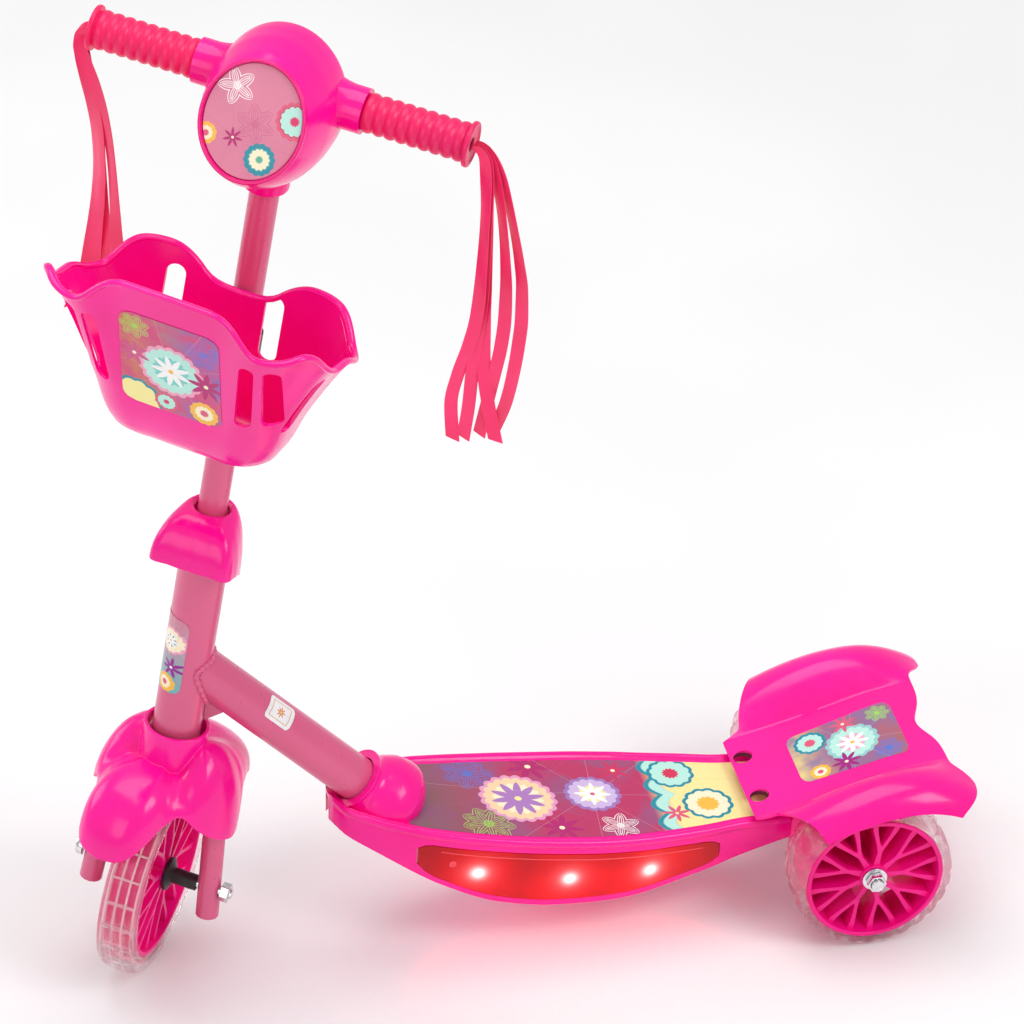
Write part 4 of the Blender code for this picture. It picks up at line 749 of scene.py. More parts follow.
def deck_section(t):
    """Closed outline across the deck: rolled rim, side walls and open underside."""
    half, top, keel = deck_at(t)
    s = min(1.0, half / 0.030)
    outer = [(half - 0.0075 * s, top - 0.0020), (half - 0.0066 * s, top - 0.0016),
             (half - 0.0055 * s, top - 0.0004)]
    for k in range(7):
        a = math.pi * (0.75 - k / 6 * 0.9)
        outer.append((half - 0.0026 * s + 0.0026 * s * math.cos(a), top - 0.0026 + 0.0026 * math.sin(a)))
    outer += [(half - 0.0009 * s, top - 0.0050), (half - 0.0012 * s, top - 0.0056)]
    side = deck_side(t, 16)
    outer += side
    wall = 0.0028 * s
    inner = [(x - wall, z) for x, z in side[::-1][:-2]]
    roof = max(keel + 0.0005, top - 0.0048)
    inner = [(x, min(z, top - 0.0080)) for x, z in inner]
    inner.append((half - 0.0095 * s, roof))
    right = outer + inner
    left = [(-x, z) for x, z in reversed(right)]
    return [Vector((x, deck_y(t), z)) for x, z in right + left]


def lens_outline(inset, steps=40):
    """(y, z) outline of a lens, which follows the deck's rim and keel and has rounded ends."""
    top, bottom = [], []
    for k in range(steps + 1):
        t = LENS_FROM + (LENS_TO - LENS_FROM) * k / steps
        _, rim, keel = deck_at(t)
        end = min(k, steps - k) / steps * (LENS_TO - LENS_FROM) * DECK_LENGTH
        squeeze = math.sqrt(max(0.0, 1 - (1 - min(1.0, (end + 0.0012) / 0.012)) ** 2))
        high, low = rim - 0.0105, keel + 0.0045
        reach = (high - low) / 2 * (0.25 + 0.75 * squeeze) - inset
        y = deck_y(t) + (inset if k == 0 else -inset if k == steps else 0)
        top.append((y, (high + low) / 2 + reach))
        bottom.append((y, (high + low) / 2 - reach))
    return top + bottom[::-1]


def side_wall(thickness, out, steps=96, levels=24):
    """The deck's side wall at +X as a solid sheet."""
    rings = []
    for k in range(steps + 1):
        t = 0.06 + 0.9 * k / steps
        line = deck_side(t, levels)
        rings.append([Vector((x + out, deck_y(t), z)) for x, z in line]
                     + [Vector((x - thickness, deck_y(t), z)) for x, z in reversed(line)])
    return loft(rings)


def boss():
    """Egg-shaped swelling around the end of the down tube."""
    turn = DOWN_DIR.to_track_quat("Z", "Y").to_matrix()
    points = ((0, 0.0204), (0.0016, 0.0203), (0.0030, 0.0192), (0.006, 0.0197), (0.011, 0.0228),
              (0.020, 0.0275), (0.029, 0.0288), (0.037, 0.0252), (0.043, 0.0165), (BOSS_LENGTH, 0.0030))
    rings = []
    for k in range(49):
        h = BOSS_LENGTH * math.sin(math.pi / 2 * k / 48)
        r = smooth_through(points, h)
        rings.append([NOSE + turn @ Vector((r * math.cos(a), r * math.sin(a), h)) for a in around(96)])
    return loft(rings)


def deck(pink):
    """Deck with its boss, the tube's hole and the openings for the lenses."""
    obj = mesh_object("deck", loft([deck_section(k / 110) for k in range(111)]))
    carve(obj, boss(), "UNION")
    carve(obj, rod(NOSE - 0.02 * DOWN_DIR, NOSE + 0.035 * DOWN_DIR, DOWN_R + 0.0008))
    for _, sign in SIDES:
        carve(obj, prism(lens_outline(0), *side_span(sign, 0.022, 0.070), "X"))
    place(obj, HOME, "frame", pink, "pink_plastic", "deck_shell", edge=0.0005, angle=40)


def lenses():
    """A lens in each side of the deck, with the curve of the wall."""
    red = glowing_red("red_lens")
    for side, sign in SIDES:
        wall = side_wall(0.0022, 0.0002)
        obj = mesh_object(f"lens_cover_{side}", wall if sign > 0 else mirrored(wall))
        carve(obj, prism(lens_outline(LENS_CLEARANCE), *side_span(sign, 0.022, 0.070), "X"), "INTERSECT")
        place(obj, HOME, "frame", red, "red_lens", f"lens_{side}", edge=0.0006, angle=50)


def wall_x(t, z):
    """Half width of the deck's side wall at share t and height z."""
    line = deck_side(t, 24)
    for (x0, z0), (x1, z1) in zip(line, line[1:]):
        if z1 <= z <= z0:
            return x0 + (x1 - x0) * (z0 - z) / (z0 - z1)
    return line[0][0]


def lens_details():
    """Moulded ridge along the top of each lens, and the small screw post near its front end."""
    ridge_red = moulded("lens_ridge", (0.95, 0.10, 0.13), (0.90, 0.05, 0.08), 0.2)
    for side, sign in SIDES:
        rings = []
        for k in range(61):
            t = LENS_FROM + 0.05 + (LENS_TO - LENS_FROM - 0.09) * k / 60
            z = deck_at(t)[1] - 0.0150
            x = sign * (wall_x(t, z) + 0.0001)
            rings.append([Vector((x + 0.0004 * math.cos(a), deck_y(t), z + 0.0004 * math.sin(a)))
                          for a in around(8)])
        place(mesh_object(f"lens_ridge_{side}", loft(rings)), HOME, "frame", ridge_red, "red_lens")
        t = (0.1810 - DECK_FRONT_Y) / DECK_LENGTH
        z = deck_at(t)[1] - 0.0235
        profile = [(0, -0.0010), (0.0024, -0.0010), (0.0024, 0.0004), (0.0020, 0.0009), (0.0013, 0.0009),
                   (0.0010, 0.0004), (0, 0.0004)]
        post = mesh_object(f"lens_post_{side}", turned([(r, sign * h) for r, h in profile], 40, "X"))
        where = HOME @ Matrix.Translation((sign * wall_x(t, z), deck_y(t), z))
        place(post, where, "frame", ridge_red, "red_lens")


def deck_print():
    """Sticker on the standing surface, inside the raised rim and running in under the boss."""
    def point(s, t):
        share = 0.16 + 0.82 * t
        half, top, _ = deck_at(share)
        return Vector(((half - 0.0085) * s, deck_y(share), top - 0.0020 + 0.00015))

    place(mesh_object("deck_print", sheet(24, 90, point)), HOME, "frame", deck_sticker(), "face_pink")


# ---------------------------------------------------------------- rear fender
def fender_plate_z(y):
    """Height of the fender's plate between the arches."""
    rise = ((-0.067, 0), (-0.032, 0.0085), (0, 0.0175), (0.030, 0.0257), (0.056, 0.0290))
    return 0.0780 + smooth_through(rise, y - WHEELBASE)


def fender_height(x, y):
    """Top surface of the rear fender: a climbing plate with an arch over each wheel."""
    plate = fender_plate_z(y)
    inner, crest_x, half = TRACK / 2 - 0.0255, TRACK / 2, 0.0215
    x = abs(x)
    if x <= inner:
        return plate
    behind = y - WHEELBASE
    if behind > CREST_BEHIND:
        crest = ARCH_TOP_Z - 0.0070 * ((behind - CREST_BEHIND) / 0.030) ** 2
    else:
        crest = ARCH_TOP_Z - 0.0220 * ((CREST_BEHIND - behind) / 0.073) ** 1.9
    base = plate - 0.0015
    if x < crest_x:
        s = (x - inner) / (crest_x - inner)
        return base + (crest - base) * math.sin(math.pi / 2 * s) ** 0.96 + 0.0015 * (1 - s)
    s = (x - crest_x) / half
    return crest - 0.0150 * (1 - math.sqrt(max(0.0, 1 - (0.94 * s) ** 2))) / (1 - math.sqrt(1 - 0.94 ** 2))


def fender_point(s, t):
    """Point of the fender's sheet at s across (-1 to 1) and t along (0 to 1)."""
    inner, outer = TRACK / 2 - 0.0215, TRACK / 2 + 0.0215
    x = outer * s
    front = WHEELBASE - 0.0670
    rise = min(1.0, max(0.0, (abs(x) - 0.0400) / 0.0060))
    share = max(0.0, abs(x) - inner) / (outer - inner)
    front += (0.0120 + 0.0210 * share ** 1.5) * rise * rise * (3 - 2 * rise)
    rear = WHEELBASE + 0.0560 - 0.0085 * math.exp(-(x / 0.017) ** 2)
    if abs(x) > inner:
        rear += 0.0120 * math.sin(math.pi / 2 * min(1, (abs(x) - inner) / 0.02)) ** 2
        rear -= 0.0150 * share ** 5
    y = front + (rear - front) * t
    return Vector((x, y, fender_height(x, y)))


def rear_fender(pink):
    """Bent sheet with a hole for each of its screws, and in each hole a dark sleeve of painted shade."""
    obj = mesh_object("fender_rear", sheet(150, 70, fender_point))
    if obj.data.polygons[0].normal.z < 0:
        obj.data.flip_normals()
    mod = obj.modifiers.new("sheet", "SOLIDIFY")
    mod.thickness = FENDER_T
    mod.offset = -1
    bpy.context.view_layer.update()
    mesh = bpy.data.meshes.new_from_object(obj.evaluated_get(bpy.context.evaluated_depsgraph_get()))
    obj.modifiers.clear()
    obj.data = mesh
    screw_x, screw_y = FENDER_SCREW
    for _, sign in SIDES:
        x = sign * screw_x
        carve(obj, rod((x, screw_y, 0.06), (x, screw_y, 0.10), FENDER_HOLE_R))
    place(obj, HOME, "frame", pink, "pink_plastic", "rear_fender", edge=0.0008, angle=40)
    # painted shade: a dark sleeve lining each screw hole stands in for the shade down inside it
    hole_shade = satin("well_shadow", (0.10, 0.004, 0.03), 0.6)
    inner, outer = FENDER_HOLE_R - 0.0002, FENDER_HOLE_R + 0.0001
    profile = [(inner, -0.0026), (outer, -0.0026), (outer, 0), (inner, 0)]
    for side, sign in SIDES:
        x = sign * screw_x
        where = HOME @ Matrix.Translation((x, screw_y, fender_height(x, screw_y) - 0.0012))
        place(mesh_object(f"screw_well_{side}", turned(profile, 48)), where, "frame", hole_shade, "pink_plastic")


def rear_print():
    """Sticker on the fender's plate, wider towards the rear."""
    low, high, half_front, half_rear, corner = 0.4105, 0.4785, 0.0235, 0.0275, 0.006

    def point(s, t):
        y = low + (high - low) * t
        half = half_front + (half_rear - half_front) * t - corner_cut(min(y - low, high - y), corner)
        return Vector((half * s, y, fender_height(half * s, y) + 0.00018))

    place(mesh_object("rear_print", sheet(20, 40, point)), HOME, "frame", rear_sticker(), "face_pink")


# ---------------------------------------------------------------- shells on the steering axis
FRONT_HEM = ((0, 0.0700, 0.0430, 0.0900), (10, 0.0692, 0.0448, 0.0900), (17, 0.0655, 0.0490, 0.0900),
             (24, 0.0580, 0.0565, 0.0890), (33, 0.0480, 0.0650, 0.0870), (45, 0.0445, 0.0705, 0.0870),
             (60, 0.0455, 0.0610, 0.0940), (75, 0.0465, 0.0525, 0.1010), (90, 0.0470, 0.0465, 0.1040),
             (105, 0.0472, 0.0430, 0.1040), (118, 0.0470, 0.0460, 0.1030), (128, 0.0470, 0.0620, 0.1010),
             (140, 0.0500, 0.0680, 0.0980), (152, 0.0570, 0.0640, 0.0960), (166, 0.0640, 0.0560, 0.0950),
             (180, 0.0660, 0.0530, 0.0950))
COVER_HEM = ((0, 0.0330, 0.2410, 0.2700), (20, 0.0350, 0.2410, 0.2700), (37, 0.0400, 0.2405, 0.2700),
             (50, 0.0345, 0.2390, 0.2700), (70, 0.0270, 0.2340, 0.2700), (90, 0.0235, 0.2280, 0.2700),
             (130, 0.0200, 0.2240, 0.2700), (180, 0.0190, 0.2230, 0.2700))
FENDER_PLACE = STEER @ Matrix.Rotation(math.radians(-15.0), 4, "Z")


def domed_shell(hem, top_r, thickness, neck, squareness, valley=0.0, steps=216, levels=28):
    """A shell that falls from a round neck to a hem that varies round it.

    hem rows are (angle from the front, reach, height, height of the shell's top).  A valley deeper than 0
    presses a groove into the shell on both sides of the front lobe.
    """
    reach_at, height_at, top_at = ([(row[0], row[i]) for row in hem] for i in (1, 2, 3))
    rings = []
    for k in range(steps):
        angle = 360 * k / steps
        across = angle if angle <= 180 else 360 - angle
        groove = valley * math.exp(-((across - 45) / 9.0) ** 2)
        ring = []
        for inset in (0, thickness):
            reach = smooth_through(reach_at, across) - inset
            low = smooth_through(height_at, across)
            top = smooth_through(top_at, across) - inset
            column = []
            if neck:
                column += [(top_r - inset, neck), (top_r - inset, neck - 0.4 * (neck - top))]
            for i in range(levels + 1):
                a = math.pi / 2 * i / levels
                out = max(0.0, math.sin(a)) ** (2 / squareness)
                down = 1 - max(0.0, math.cos(a)) ** (2 / squareness)
                r = top_r - inset + (reach - top_r + inset) * out - groove * math.sin(2 * a) ** 2
                column.append((r, top + (low - top) * down))
            ring += column if not inset else column[::-1]
        a = math.radians(angle)
        rings.append([Vector((r * math.sin(a), -r * math.cos(a), z)) for r, z in ring])
    return loft(rings, closed=True)


def front_shells(pink):
    """Front fender and the cover on the stem."""
    shape = domed_shell(FRONT_HEM, 0.0205, SHELL_T, 0.1110, 2.16, 0.0045)
    place(mesh_object("fender_front", shape), FENDER_PLACE, "steering", pink, "pink_plastic", "front_fender",
          edge=0.0007, angle=50)
    shape = domed_shell(COVER_HEM, STEM_R + 0.0036, 0.0022, 0.0, 2.2)
    place(mesh_object("cover_stem", shape), STEER, "steering", pink, "pink_plastic", "stem_cover",
          edge=0.0006, angle=50)


# ---------------------------------------------------------------- handlebar
def housing_body():
    """Nearly round body whose front is cut off where the face sits."""
    stations = ((-0.0190, 0.62, 0.60, 0.552), (-0.0140, 0.86, 0.85, 0.552), (-0.005, 0.985, 0.98, 0.552),
                (0.008, 1.0, 1.0, 0.552), (0.020, 0.985, 0.985, 0.553), (0.032, 0.93, 0.93, 0.555),
                (0.042, 0.86, 0.865, 0.5575), (0.0495, 0.79, 0.785, 0.560))
    wide = [(a, w) for a, w, _, _ in stations]
    high = [(a, h) for a, _, h, _ in stations]
    mid = [(a, c) for a, _, _, c in stations]
    rings = []
    rear, front = stations[0][0], stations[-1][0]
    for k in range(61):
        ahead = rear + (front - rear) * (0.5 - 0.5 * math.cos(math.pi * k / 60))
        share = (ahead - rear) / 0.0690
        tilt = math.radians(20) * share ** 1.5
        outline = oval(0.0395 * smooth_through(wide, ahead), 0.0465 * smooth_through(high, ahead))
        level = smooth_through(mid, ahead)
        rings.append([Vector((x, z * math.sin(tilt) - ahead, level + z * math.cos(tilt)))
                      for x, z in outline])
    return loft(rings)


def arm(sign):
    """Socket beside the housing: it flares into the body and has a straight mouth for the grip."""
    rings = []
    for k in range(33):
        x = 0.020 + (0.052 - 0.020) * k / 32
        flare = 0.0072 * max(0.0, 1 - (x - 0.020) / 0.0235) ** 1.7
        r = 0.0138 + flare
        rings.append([Vector((sign * x, r * math.cos(a), BAR_H + r * math.sin(a))) for a in around(72)])
    return loft(rings)


def housing(pink):
    """Handlebar housing with its face and the rim round it."""
    obj = mesh_object("housing", housing_body())
    for _, sign in SIDES:
        carve(obj, arm(sign), "UNION")
    inverse = STEER.inverted()
    opening = prism(oval(0.0296, 0.0343), -0.0042, 0.01, "Z")
    carve(obj, ([inverse @ (FACE @ v) for v in opening[0]], opening[1]))
    for _, sign in SIDES:
        carve(obj, rod((sign * 0.045, 0, BAR_H), (sign * 0.06, 0, BAR_H), 0.0095))
    place(obj, STEER, "steering", pink, "pink_plastic", "housing_front", "housing_rear",
          edge=0.0007, angle=38)

    rings = [[Vector((x, y, z)) for x, y in oval(0.0293 - inset, 0.0340 - inset)]
             for z, inset in ((-0.0040, 0), (-0.0018, 0), (-0.0013, 0.0002), (-0.0012, 0.0006))]
    badge = mesh_object("badge", loft(rings))
    place(badge, FACE, "steering", face_sticker(), "face_pink", "face_plate")

    section = ((0.0000, -0.0020), (0.0000, 0.0004), (0.0005, 0.0009), (0.0017, 0.0009), (0.0023, 0.0002),
               (0.0023, -0.0020))
    loops = [[Vector((x, y, z)) for x, y in oval(0.0298 + out, 0.0345 + out)] for out, z in section]
    lip = moulded("face_rim_pink", (0.88, 0.002, 0.230), (0.80, 0.001, 0.190))
    rim = mesh_object("face_rim", loft(list(zip(*loops)), closed=True))
    place(rim, FACE, "steering", lip, "pink_plastic", edge=0.0003)


def grips():
    """Ribbed grips, each with a wide end disc and a hole for its streamers."""
    rubber = moulded("grip_rubber", GRIP_PINK, (0.80, 0.012, 0.130), 0.34, 0.05, 0.10)
    body_end = GRIP_END - 0.0030
    pitch = (body_end - GRIP_START) / GRIP_RIBS
    line = [(0.0093, GRIP_START)]
    for k in range(GRIP_RIBS):
        for i in range(9):
            swell = math.sin(math.pi * (i + 0.25) / 8.5) ** 0.6
            line.append((GRIP_R - 0.0016 * (1 - swell), GRIP_START + pitch * (k + i / 9)))
    line += [(0.0108, body_end - 0.0002), (0.0130, body_end), (0.0136, body_end + 0.0004),
             (0.0138, body_end + 0.0012), (0.0138, body_end + 0.0021), (0.0134, GRIP_END - 0.0002),
             (0.0128, GRIP_END), (0.0115, GRIP_END),
             (0.0108, GRIP_END - 0.0007), (0.0050, GRIP_END - 0.0009), (0.0040, GRIP_END - 0.0013),
             (0.0040, body_end - 0.0004), (0.0093, body_end - 0.0004)]
    for side, sign in SIDES:
        obj = mesh_object(f"handle_{side}", turned([(r, sign * x) for r, x in line], 96, "X"))
        place(obj, STEER @ Matrix.Translation((0, 0, BAR_H)), "steering", rubber, "grip_pink", f"grip_{side}")


# ---------------------------------------------------------------- basket
# the basket's levels: share of its height, half width, and how far ahead its back and its front are
BASKET_LEVELS = ((0, 0.0340, 0.0180, 0.0540), (0.035, 0.0440, 0.0145, 0.0690),
                 (0.10, 0.0510, 0.0132, 0.0820), (0.40, 0.0615, 0.0132, 0.1025),
                 (0.72, 0.0745, 0.0132, 0.1220), (1.0, 0.0880, 0.0132, 0.1390))
BASKET_RIM = ((0, 0.4870), (12, 0.4860), (17, 0.4760), (22, 0.4665), (30, 0.4630), (45, 0.4640),
              (58, 0.4675), (68, 0.4640), (80, 0.4520), (92, 0.4400), (108, 0.4290), (122, 0.4270),
              (133, 0.4360), (143, 0.4450), (155, 0.4470), (166, 0.4460), (175.5, 0.4320), (180, 0.4165))
BASKET_FLOOR = 0.3420
BASKET_BACK = 0.0132
BASKET_WALL = 0.0022
BASKET_ROUNDING = 0.571                # below 1 the basket's plan is squarer than an ellipse


def rim_height(angle):
    """Height of the basket's rim at an angle round it, its corners eased."""
    total = 0.0
    for step in range(-3, 4):
        near = abs((angle + 1.8 * step + 180) % 360 - 180)
        total += smooth_through(BASKET_RIM, near)
    return total / 7


def basket_level(column, share):
    """One measure of the basket's plan at a share of its height."""
    return smooth_through([(level[0], level[column]) for level in BASKET_LEVELS], share)


def basket_point(share, angle, grow=0.0, lift=0.0):
    """Point on the basket's wall at a share of its height and an angle round it, 0 in front."""
    half, back, ahead = (basket_level(i, share) for i in (1, 2, 3))
    middle, deep, wide = (back + ahead) / 2, (ahead - back) / 2 + grow, half + grow
    a = math.radians(angle)
    s, c = math.sin(a), math.cos(a)
    x = math.copysign(abs(s) ** BASKET_ROUNDING, s) * wide
    y = math.copysign(abs(c) ** BASKET_ROUNDING, c) * deep + middle
    rim = rim_height(angle)
    back = BASKET_BACK - min(grow, 0)
    return Vector((x, -max(y, back), BASKET_FLOOR + share * (rim - BASKET_FLOOR) + lift))


def basket(pink):
    """Thin wall with slots all round, and the bead rolled on its rim."""
    steps = 240
    shares = [0.0, 0.006, 0.018, 0.035, 0.06] + [0.10 + 0.88 * (k / 22) for k in range(23)]
    rings = [[basket_point(share, 360 * k / steps) for k in range(steps)] for share in shares]
    for share in shares[::-1]:
        lift = BASKET_WALL * max(0.0, 1 - share / 0.06)
        rings.append([basket_point(share, 360 * k / steps, -BASKET_WALL, lift) for k in range(steps)])
    obj = mesh_object("basket_body", loft(rings))
    cutters = []
    for _, sign in SIDES:
        for x in (0.0470, 0.0610):
            slot = stadium((sign * x, 0.4230), 0.0095, 0.056, sign * 0.006)
            cutters.append(prism(slot, -0.20, -0.075, "Y"))
        slot = [(-y, z) for y, z in stadium((0.0780, 0.4080), 0.0095, 0.050, 0.012)]
        cutters.append(prism(slot, *side_span(sign, 0.052, 0.120), "X"))
    for x in (-0.0400, 0.0230):
        cutters.append(prism(stadium((x, 0.4110), 0.0120, 0.044), -0.030, 0.0, "Y"))
    for cutter in cutters:
        carve(obj, cutter)
    place(obj, BASKET, "steering", pink, "pink_plastic", "basket", edge=0.0006, angle=42)
    place(mesh_object("basket_bead", rim_bead(steps)), BASKET, "steering", pink, "pink_plastic")


def rim_bead(steps):
    """Rolled bead round the basket's rim."""
    line = [basket_point(0.985, 360 * k / steps, -0.0006) for k in range(steps)]
    centre = Vector((0, -0.076, 0.45))
    rings = []
    for k in range(steps):
        p, along = line[k], (line[(k + 1) % steps] - line[k - 1]).normalized()
        out = (p - centre).cross(Vector((0, 0, 1))).cross(Vector((0, 0, 1))) * -1
        out = (out - out.dot(along) * along).normalized()
        up = along.cross(out)
        if up.z < 0:
            up = -up
        rings.append([p + out * (0.0026 * math.cos(a) + 0.0012) + up * 0.0019 * math.sin(a)
                      for a in around(16)])
    return loft(rings, closed=True)


def basket_print():
    """Sticker on the basket's front wall, with rounded corners."""
    low, high, half_width, corner = 0.386, 0.462, 0.0315, 0.008

    def point(s, t):
        z = low + (high - low) * t
        return wall_point((half_width - corner_cut(min(z - low, high - z), corner)) * s, z)

    obj = mesh_object("basket_print", sheet(36, 44, point))
    place(obj, BASKET, "steering", basket_sticker(), "face_pink")


def wall_point(x, z):
    """Point just in front of the basket's front wall at x across and height z."""
    angle, share = 0.0, 0.5
    for _ in range(12):
        p = basket_point(share, angle % 360)
        rim = rim_height(angle)
        share = min(0.97, max(0.02, (z - BASKET_FLOOR) / (rim - BASKET_FLOOR)))
        wide = basket_level(1, share)
        angle = math.copysign(math.degrees(math.asin(min(1, (abs(x) / wide) ** (1 / BASKET_ROUNDING)))), x)
    p = basket_point(share, angle % 360)
    return Vector((x, p.y - 0.0003, z))


# ---------------------------------------------------------------- wheels
def spoked_hub(rim_r, width, bore):
    """Rim, boss and Y-shaped spokes about X, as one shape."""
    w = width / 2 - 0.0008
    web = w * 0.78
    rim_in = rim_r - 0.0030
    boss_r = HUB_BOSS_R
    rim = [(rim_in, -w + 0.0006), (rim_in + 0.0006, -w), (rim_r - 0.0004, -w), (rim_r, -w + 0.0005),
           (rim_r, w - 0.0005), (rim_r - 0.0004, w), (rim_in + 0.0006, w), (rim_in, w - 0.0006)]
    face = w - 0.0022
    hub = [(bore, -face), (boss_r - 0.0006, -face), (boss_r, -face + 0.0006), (boss_r, face - 0.0006),
           (boss_r - 0.0006, face), (bore, face)]
    shapes = [turned(rim, 144, "X"), turned(hub, 72, "X")]
    fork_r = boss_r + 0.30 * (rim_in - boss_r)
    spread = 0.27 * 2 * math.pi / SPOKES

    def spoke_edge(r, side, inner):
        """Angle of one edge of a spoke at radius r."""
        share = (r - boss_r) / (rim_in - boss_r)
        leave = 0.0
        if r > fork_r:
            leave = spread * math.sin(math.pi / 2 * min(1.0, (r - fork_r) / (rim_in - fork_r))) ** 0.8
        half = (0.0021 - 0.0008 * math.sin(math.pi * min(1.0, max(0.0, share)))) / r
        return side * (leave - half if inner else leave + half)

    for middle in around(SPOKES):
        radii = [boss_r - 0.001 + (rim_in + 0.001 - boss_r + 0.001) * i / 22 for i in range(23)]
        outline = [(r, spoke_edge(r, 1, False)) for r in radii]
        inner = [r for r in radii if spoke_edge(r, 1, True) > 0.0003 / r and r > fork_r]
        outline += [(r, spoke_edge(r, 1, True)) for r in reversed(inner)]
        outline += [(r, spoke_edge(r, -1, True)) for r in inner]
        outline += [(r, spoke_edge(r, -1, False)) for r in reversed(radii)]
        points = [(r * math.cos(a + middle), r * math.sin(a + middle)) for r, a in outline]
        shapes.append(prism(points, -web, web, "X"))
    return joined(shapes)


def tyre_profile(rim_r, wheel_r, width):
    """Closed (radius, x) outline of a tyre that sits on its rim."""
    t = width / 2
    thick = wheel_r - rim_r
    line = [(rim_r + 0.0004, -t + 0.0010), (rim_r + 0.0010, -t)]
    for k in range(25):
        a = math.radians(-90 + 180 * k / 24)
        r = rim_r + thick * (0.42 + 0.58 * max(0.0, math.cos(a)) ** 0.42)
        line.append((min(r, wheel_r), t * math.sin(a)))
    line += [(rim_r + 0.0010, t), (rim_r + 0.0004, t - 0.0010)]
    return line


def front_wheel(pink, clear):
    """Front wheel, whose gel tyre has milky bands and bars inside."""
    hub = mesh_object("wheel_front", spoked_hub(FRONT_RIM_R, FRONT_WHEEL_W, 0.0034))
    place(hub, STEER, "front_wheel", pink, "pink_plastic", "front_hub", edge=0.0004, angle=50)
    outline = tyre_profile(FRONT_RIM_R, FRONT_WHEEL_R, FRONT_WHEEL_W)
    tyre = mesh_object("tread_front", turned(outline, 160, "X"))
    place(tyre, STEER, "front_wheel", clear, "tyre", "front_tyre")
    r = FRONT_RIM_R + 0.0042
    bands = []
    for x in (-0.0088, -0.0030, 0.0030, 0.0088):
        band = [(r, x - 0.0007), (r + 0.0012, x - 0.0005), (r + 0.0012, x + 0.0005), (r, x + 0.0007)]
        bands.append(turned(band, 120, "X"))
    for a in around(TYRE_BARS):
        turn = Matrix.Rotation(a, 3, "X")
        outline = [(-0.0008, r), (0.0008, r), (0.0005, r + 0.0014), (-0.0005, r + 0.0014)]
        bar = prism(outline, -0.0090, 0.0090, "X")
        bands.append(([turn @ v for v in bar[0]], bar[1]))
    milky = moulded("milky_band", (1.0, 0.70, 0.74), (1.0, 0.52, 0.58), 0.2, 0.2, 0.3)
    place(mesh_object("tread_bands", joined(bands)), STEER, "front_wheel", milky, "tyre")


def rear_wheels(pink, clear):
    """Rear wheels, whose gel tyres have a lumpy tread: rows of pads with grooves between them."""
    lumps = 26
    for side, _ in SIDES:
        joint = JOINTS[f"rear_wheel_{side}_spin"]
        where = Matrix.Translation(joint["pos_m"])
        hub = mesh_object(f"wheel_{side}", spoked_hub(REAR_RIM_R, REAR_WHEEL_W, 0.0044))
        place(hub, where, f"rear_wheel_{side}", pink, "pink_plastic", f"rear_{side}_hub",
              edge=0.0004, angle=50)
        rings = []
        segments = 12 * lumps
        line = tyre_profile(REAR_RIM_R, REAR_WHEEL_R, REAR_WHEEL_W - 0.0010)
        for k in range(segments):
            a = 2 * math.pi * k / segments
            ring = []
            for r, x in line:
                if r > REAR_RIM_R + 0.0030:
                    lean = 0.5 if x > 0 else 0.0
                    wave = math.cos(2 * math.pi * (k / 12 + lean) + 3 * abs(x) / REAR_WHEEL_W * math.pi)
                    groove = 0.0013 * max(0.0, wave) ** 0.7 + 0.0012 * math.exp(-(x / 0.0022) ** 2)
                    r -= groove
                ring.append(Vector((x, r * math.cos(a), r * math.sin(a))))
            rings.append(ring)
        tyre = mesh_object(f"tread_{side}", loft(rings, closed=True))
        place(tyre, where, f"rear_wheel_{side}", clear, "tyre", f"rear_{side}_tyre")


# ---------------------------------------------------------------- streamers
RIBBON_SECTION = [(x / 2, -1) for x in range(-2, 3)] + [(x / 2, 1) for x in range(2, -3, -1)]
STREAMER_DROPS = (0, 0.4, 2.2, 6, 12, 22, 36, 54, 74, 94, 114, 134, 154, 176, 200)
STREAMER_OUTS = {
    "left": ((0.6, 3, 5.6, 7.6, 8.6, 9.2, 9.4, 9.0, 8.2, 7.2, 5.4, 1.0, -5.0, -9.0, -7.5),
             (0.6, 3, 5.6, 7.8, 9.2, 10.0, 10.4, 10.2, 9.6, 8.4, 6.6, 4.4, 2.6, 1.0, -2.0),
             (0.6, 3, 5.6, 7.6, 8.8, 9.6, 10.0, 10.2, 9.8, 9.2, 8.6, 8.6, 9.2, 12.2, 17.0),
             (0.6, 3, 5.8, 8.4, 10.8, 13.6, 16.2, 18.4, 20.0, 20.8, 20.4, 18.4, 14.8, 10.4, 5.6),
             (0.6, 3, 6.0, 9.2, 12.6, 16.6, 20.4, 24.2, 27.6, 29.8, 29.8, 28.0, 25.2, 20.8, 12.4)),
    "right": ((0.6, 3, 5.6, 7.6, 8.4, 7.4, 4.6, 1.0, -0.6, 0.2, 1.2, 1.8, 4.6, 11.0, 20.0),
              (0.6, 3, 5.6, 7.8, 8.8, 8.2, 6.0, 2.6, 0.2, -0.4, 0.6, 2.8, 6.0, 9.6, 13.6),
              (0.6, 3, 5.6, 7.6, 8.4, 7.0, 3.6, 0.0, -2.8, -4.0, -4.6, -5.0, -4.8, -3.0, 0.4),
              (0.6, 3, 5.6, 7.6, 8.2, 6.4, 2.8, -1.4, -4.2, -4.8, -3.4, -1.2, 0.6, 2.0, 3.0),
              (0.6, 3, 5.6, 7.4, 7.6, 4.2, -1.6, -7.0, -10.6, -12.6, -13.8, -14.8, -16.0, -17.6, -19.6)),
}


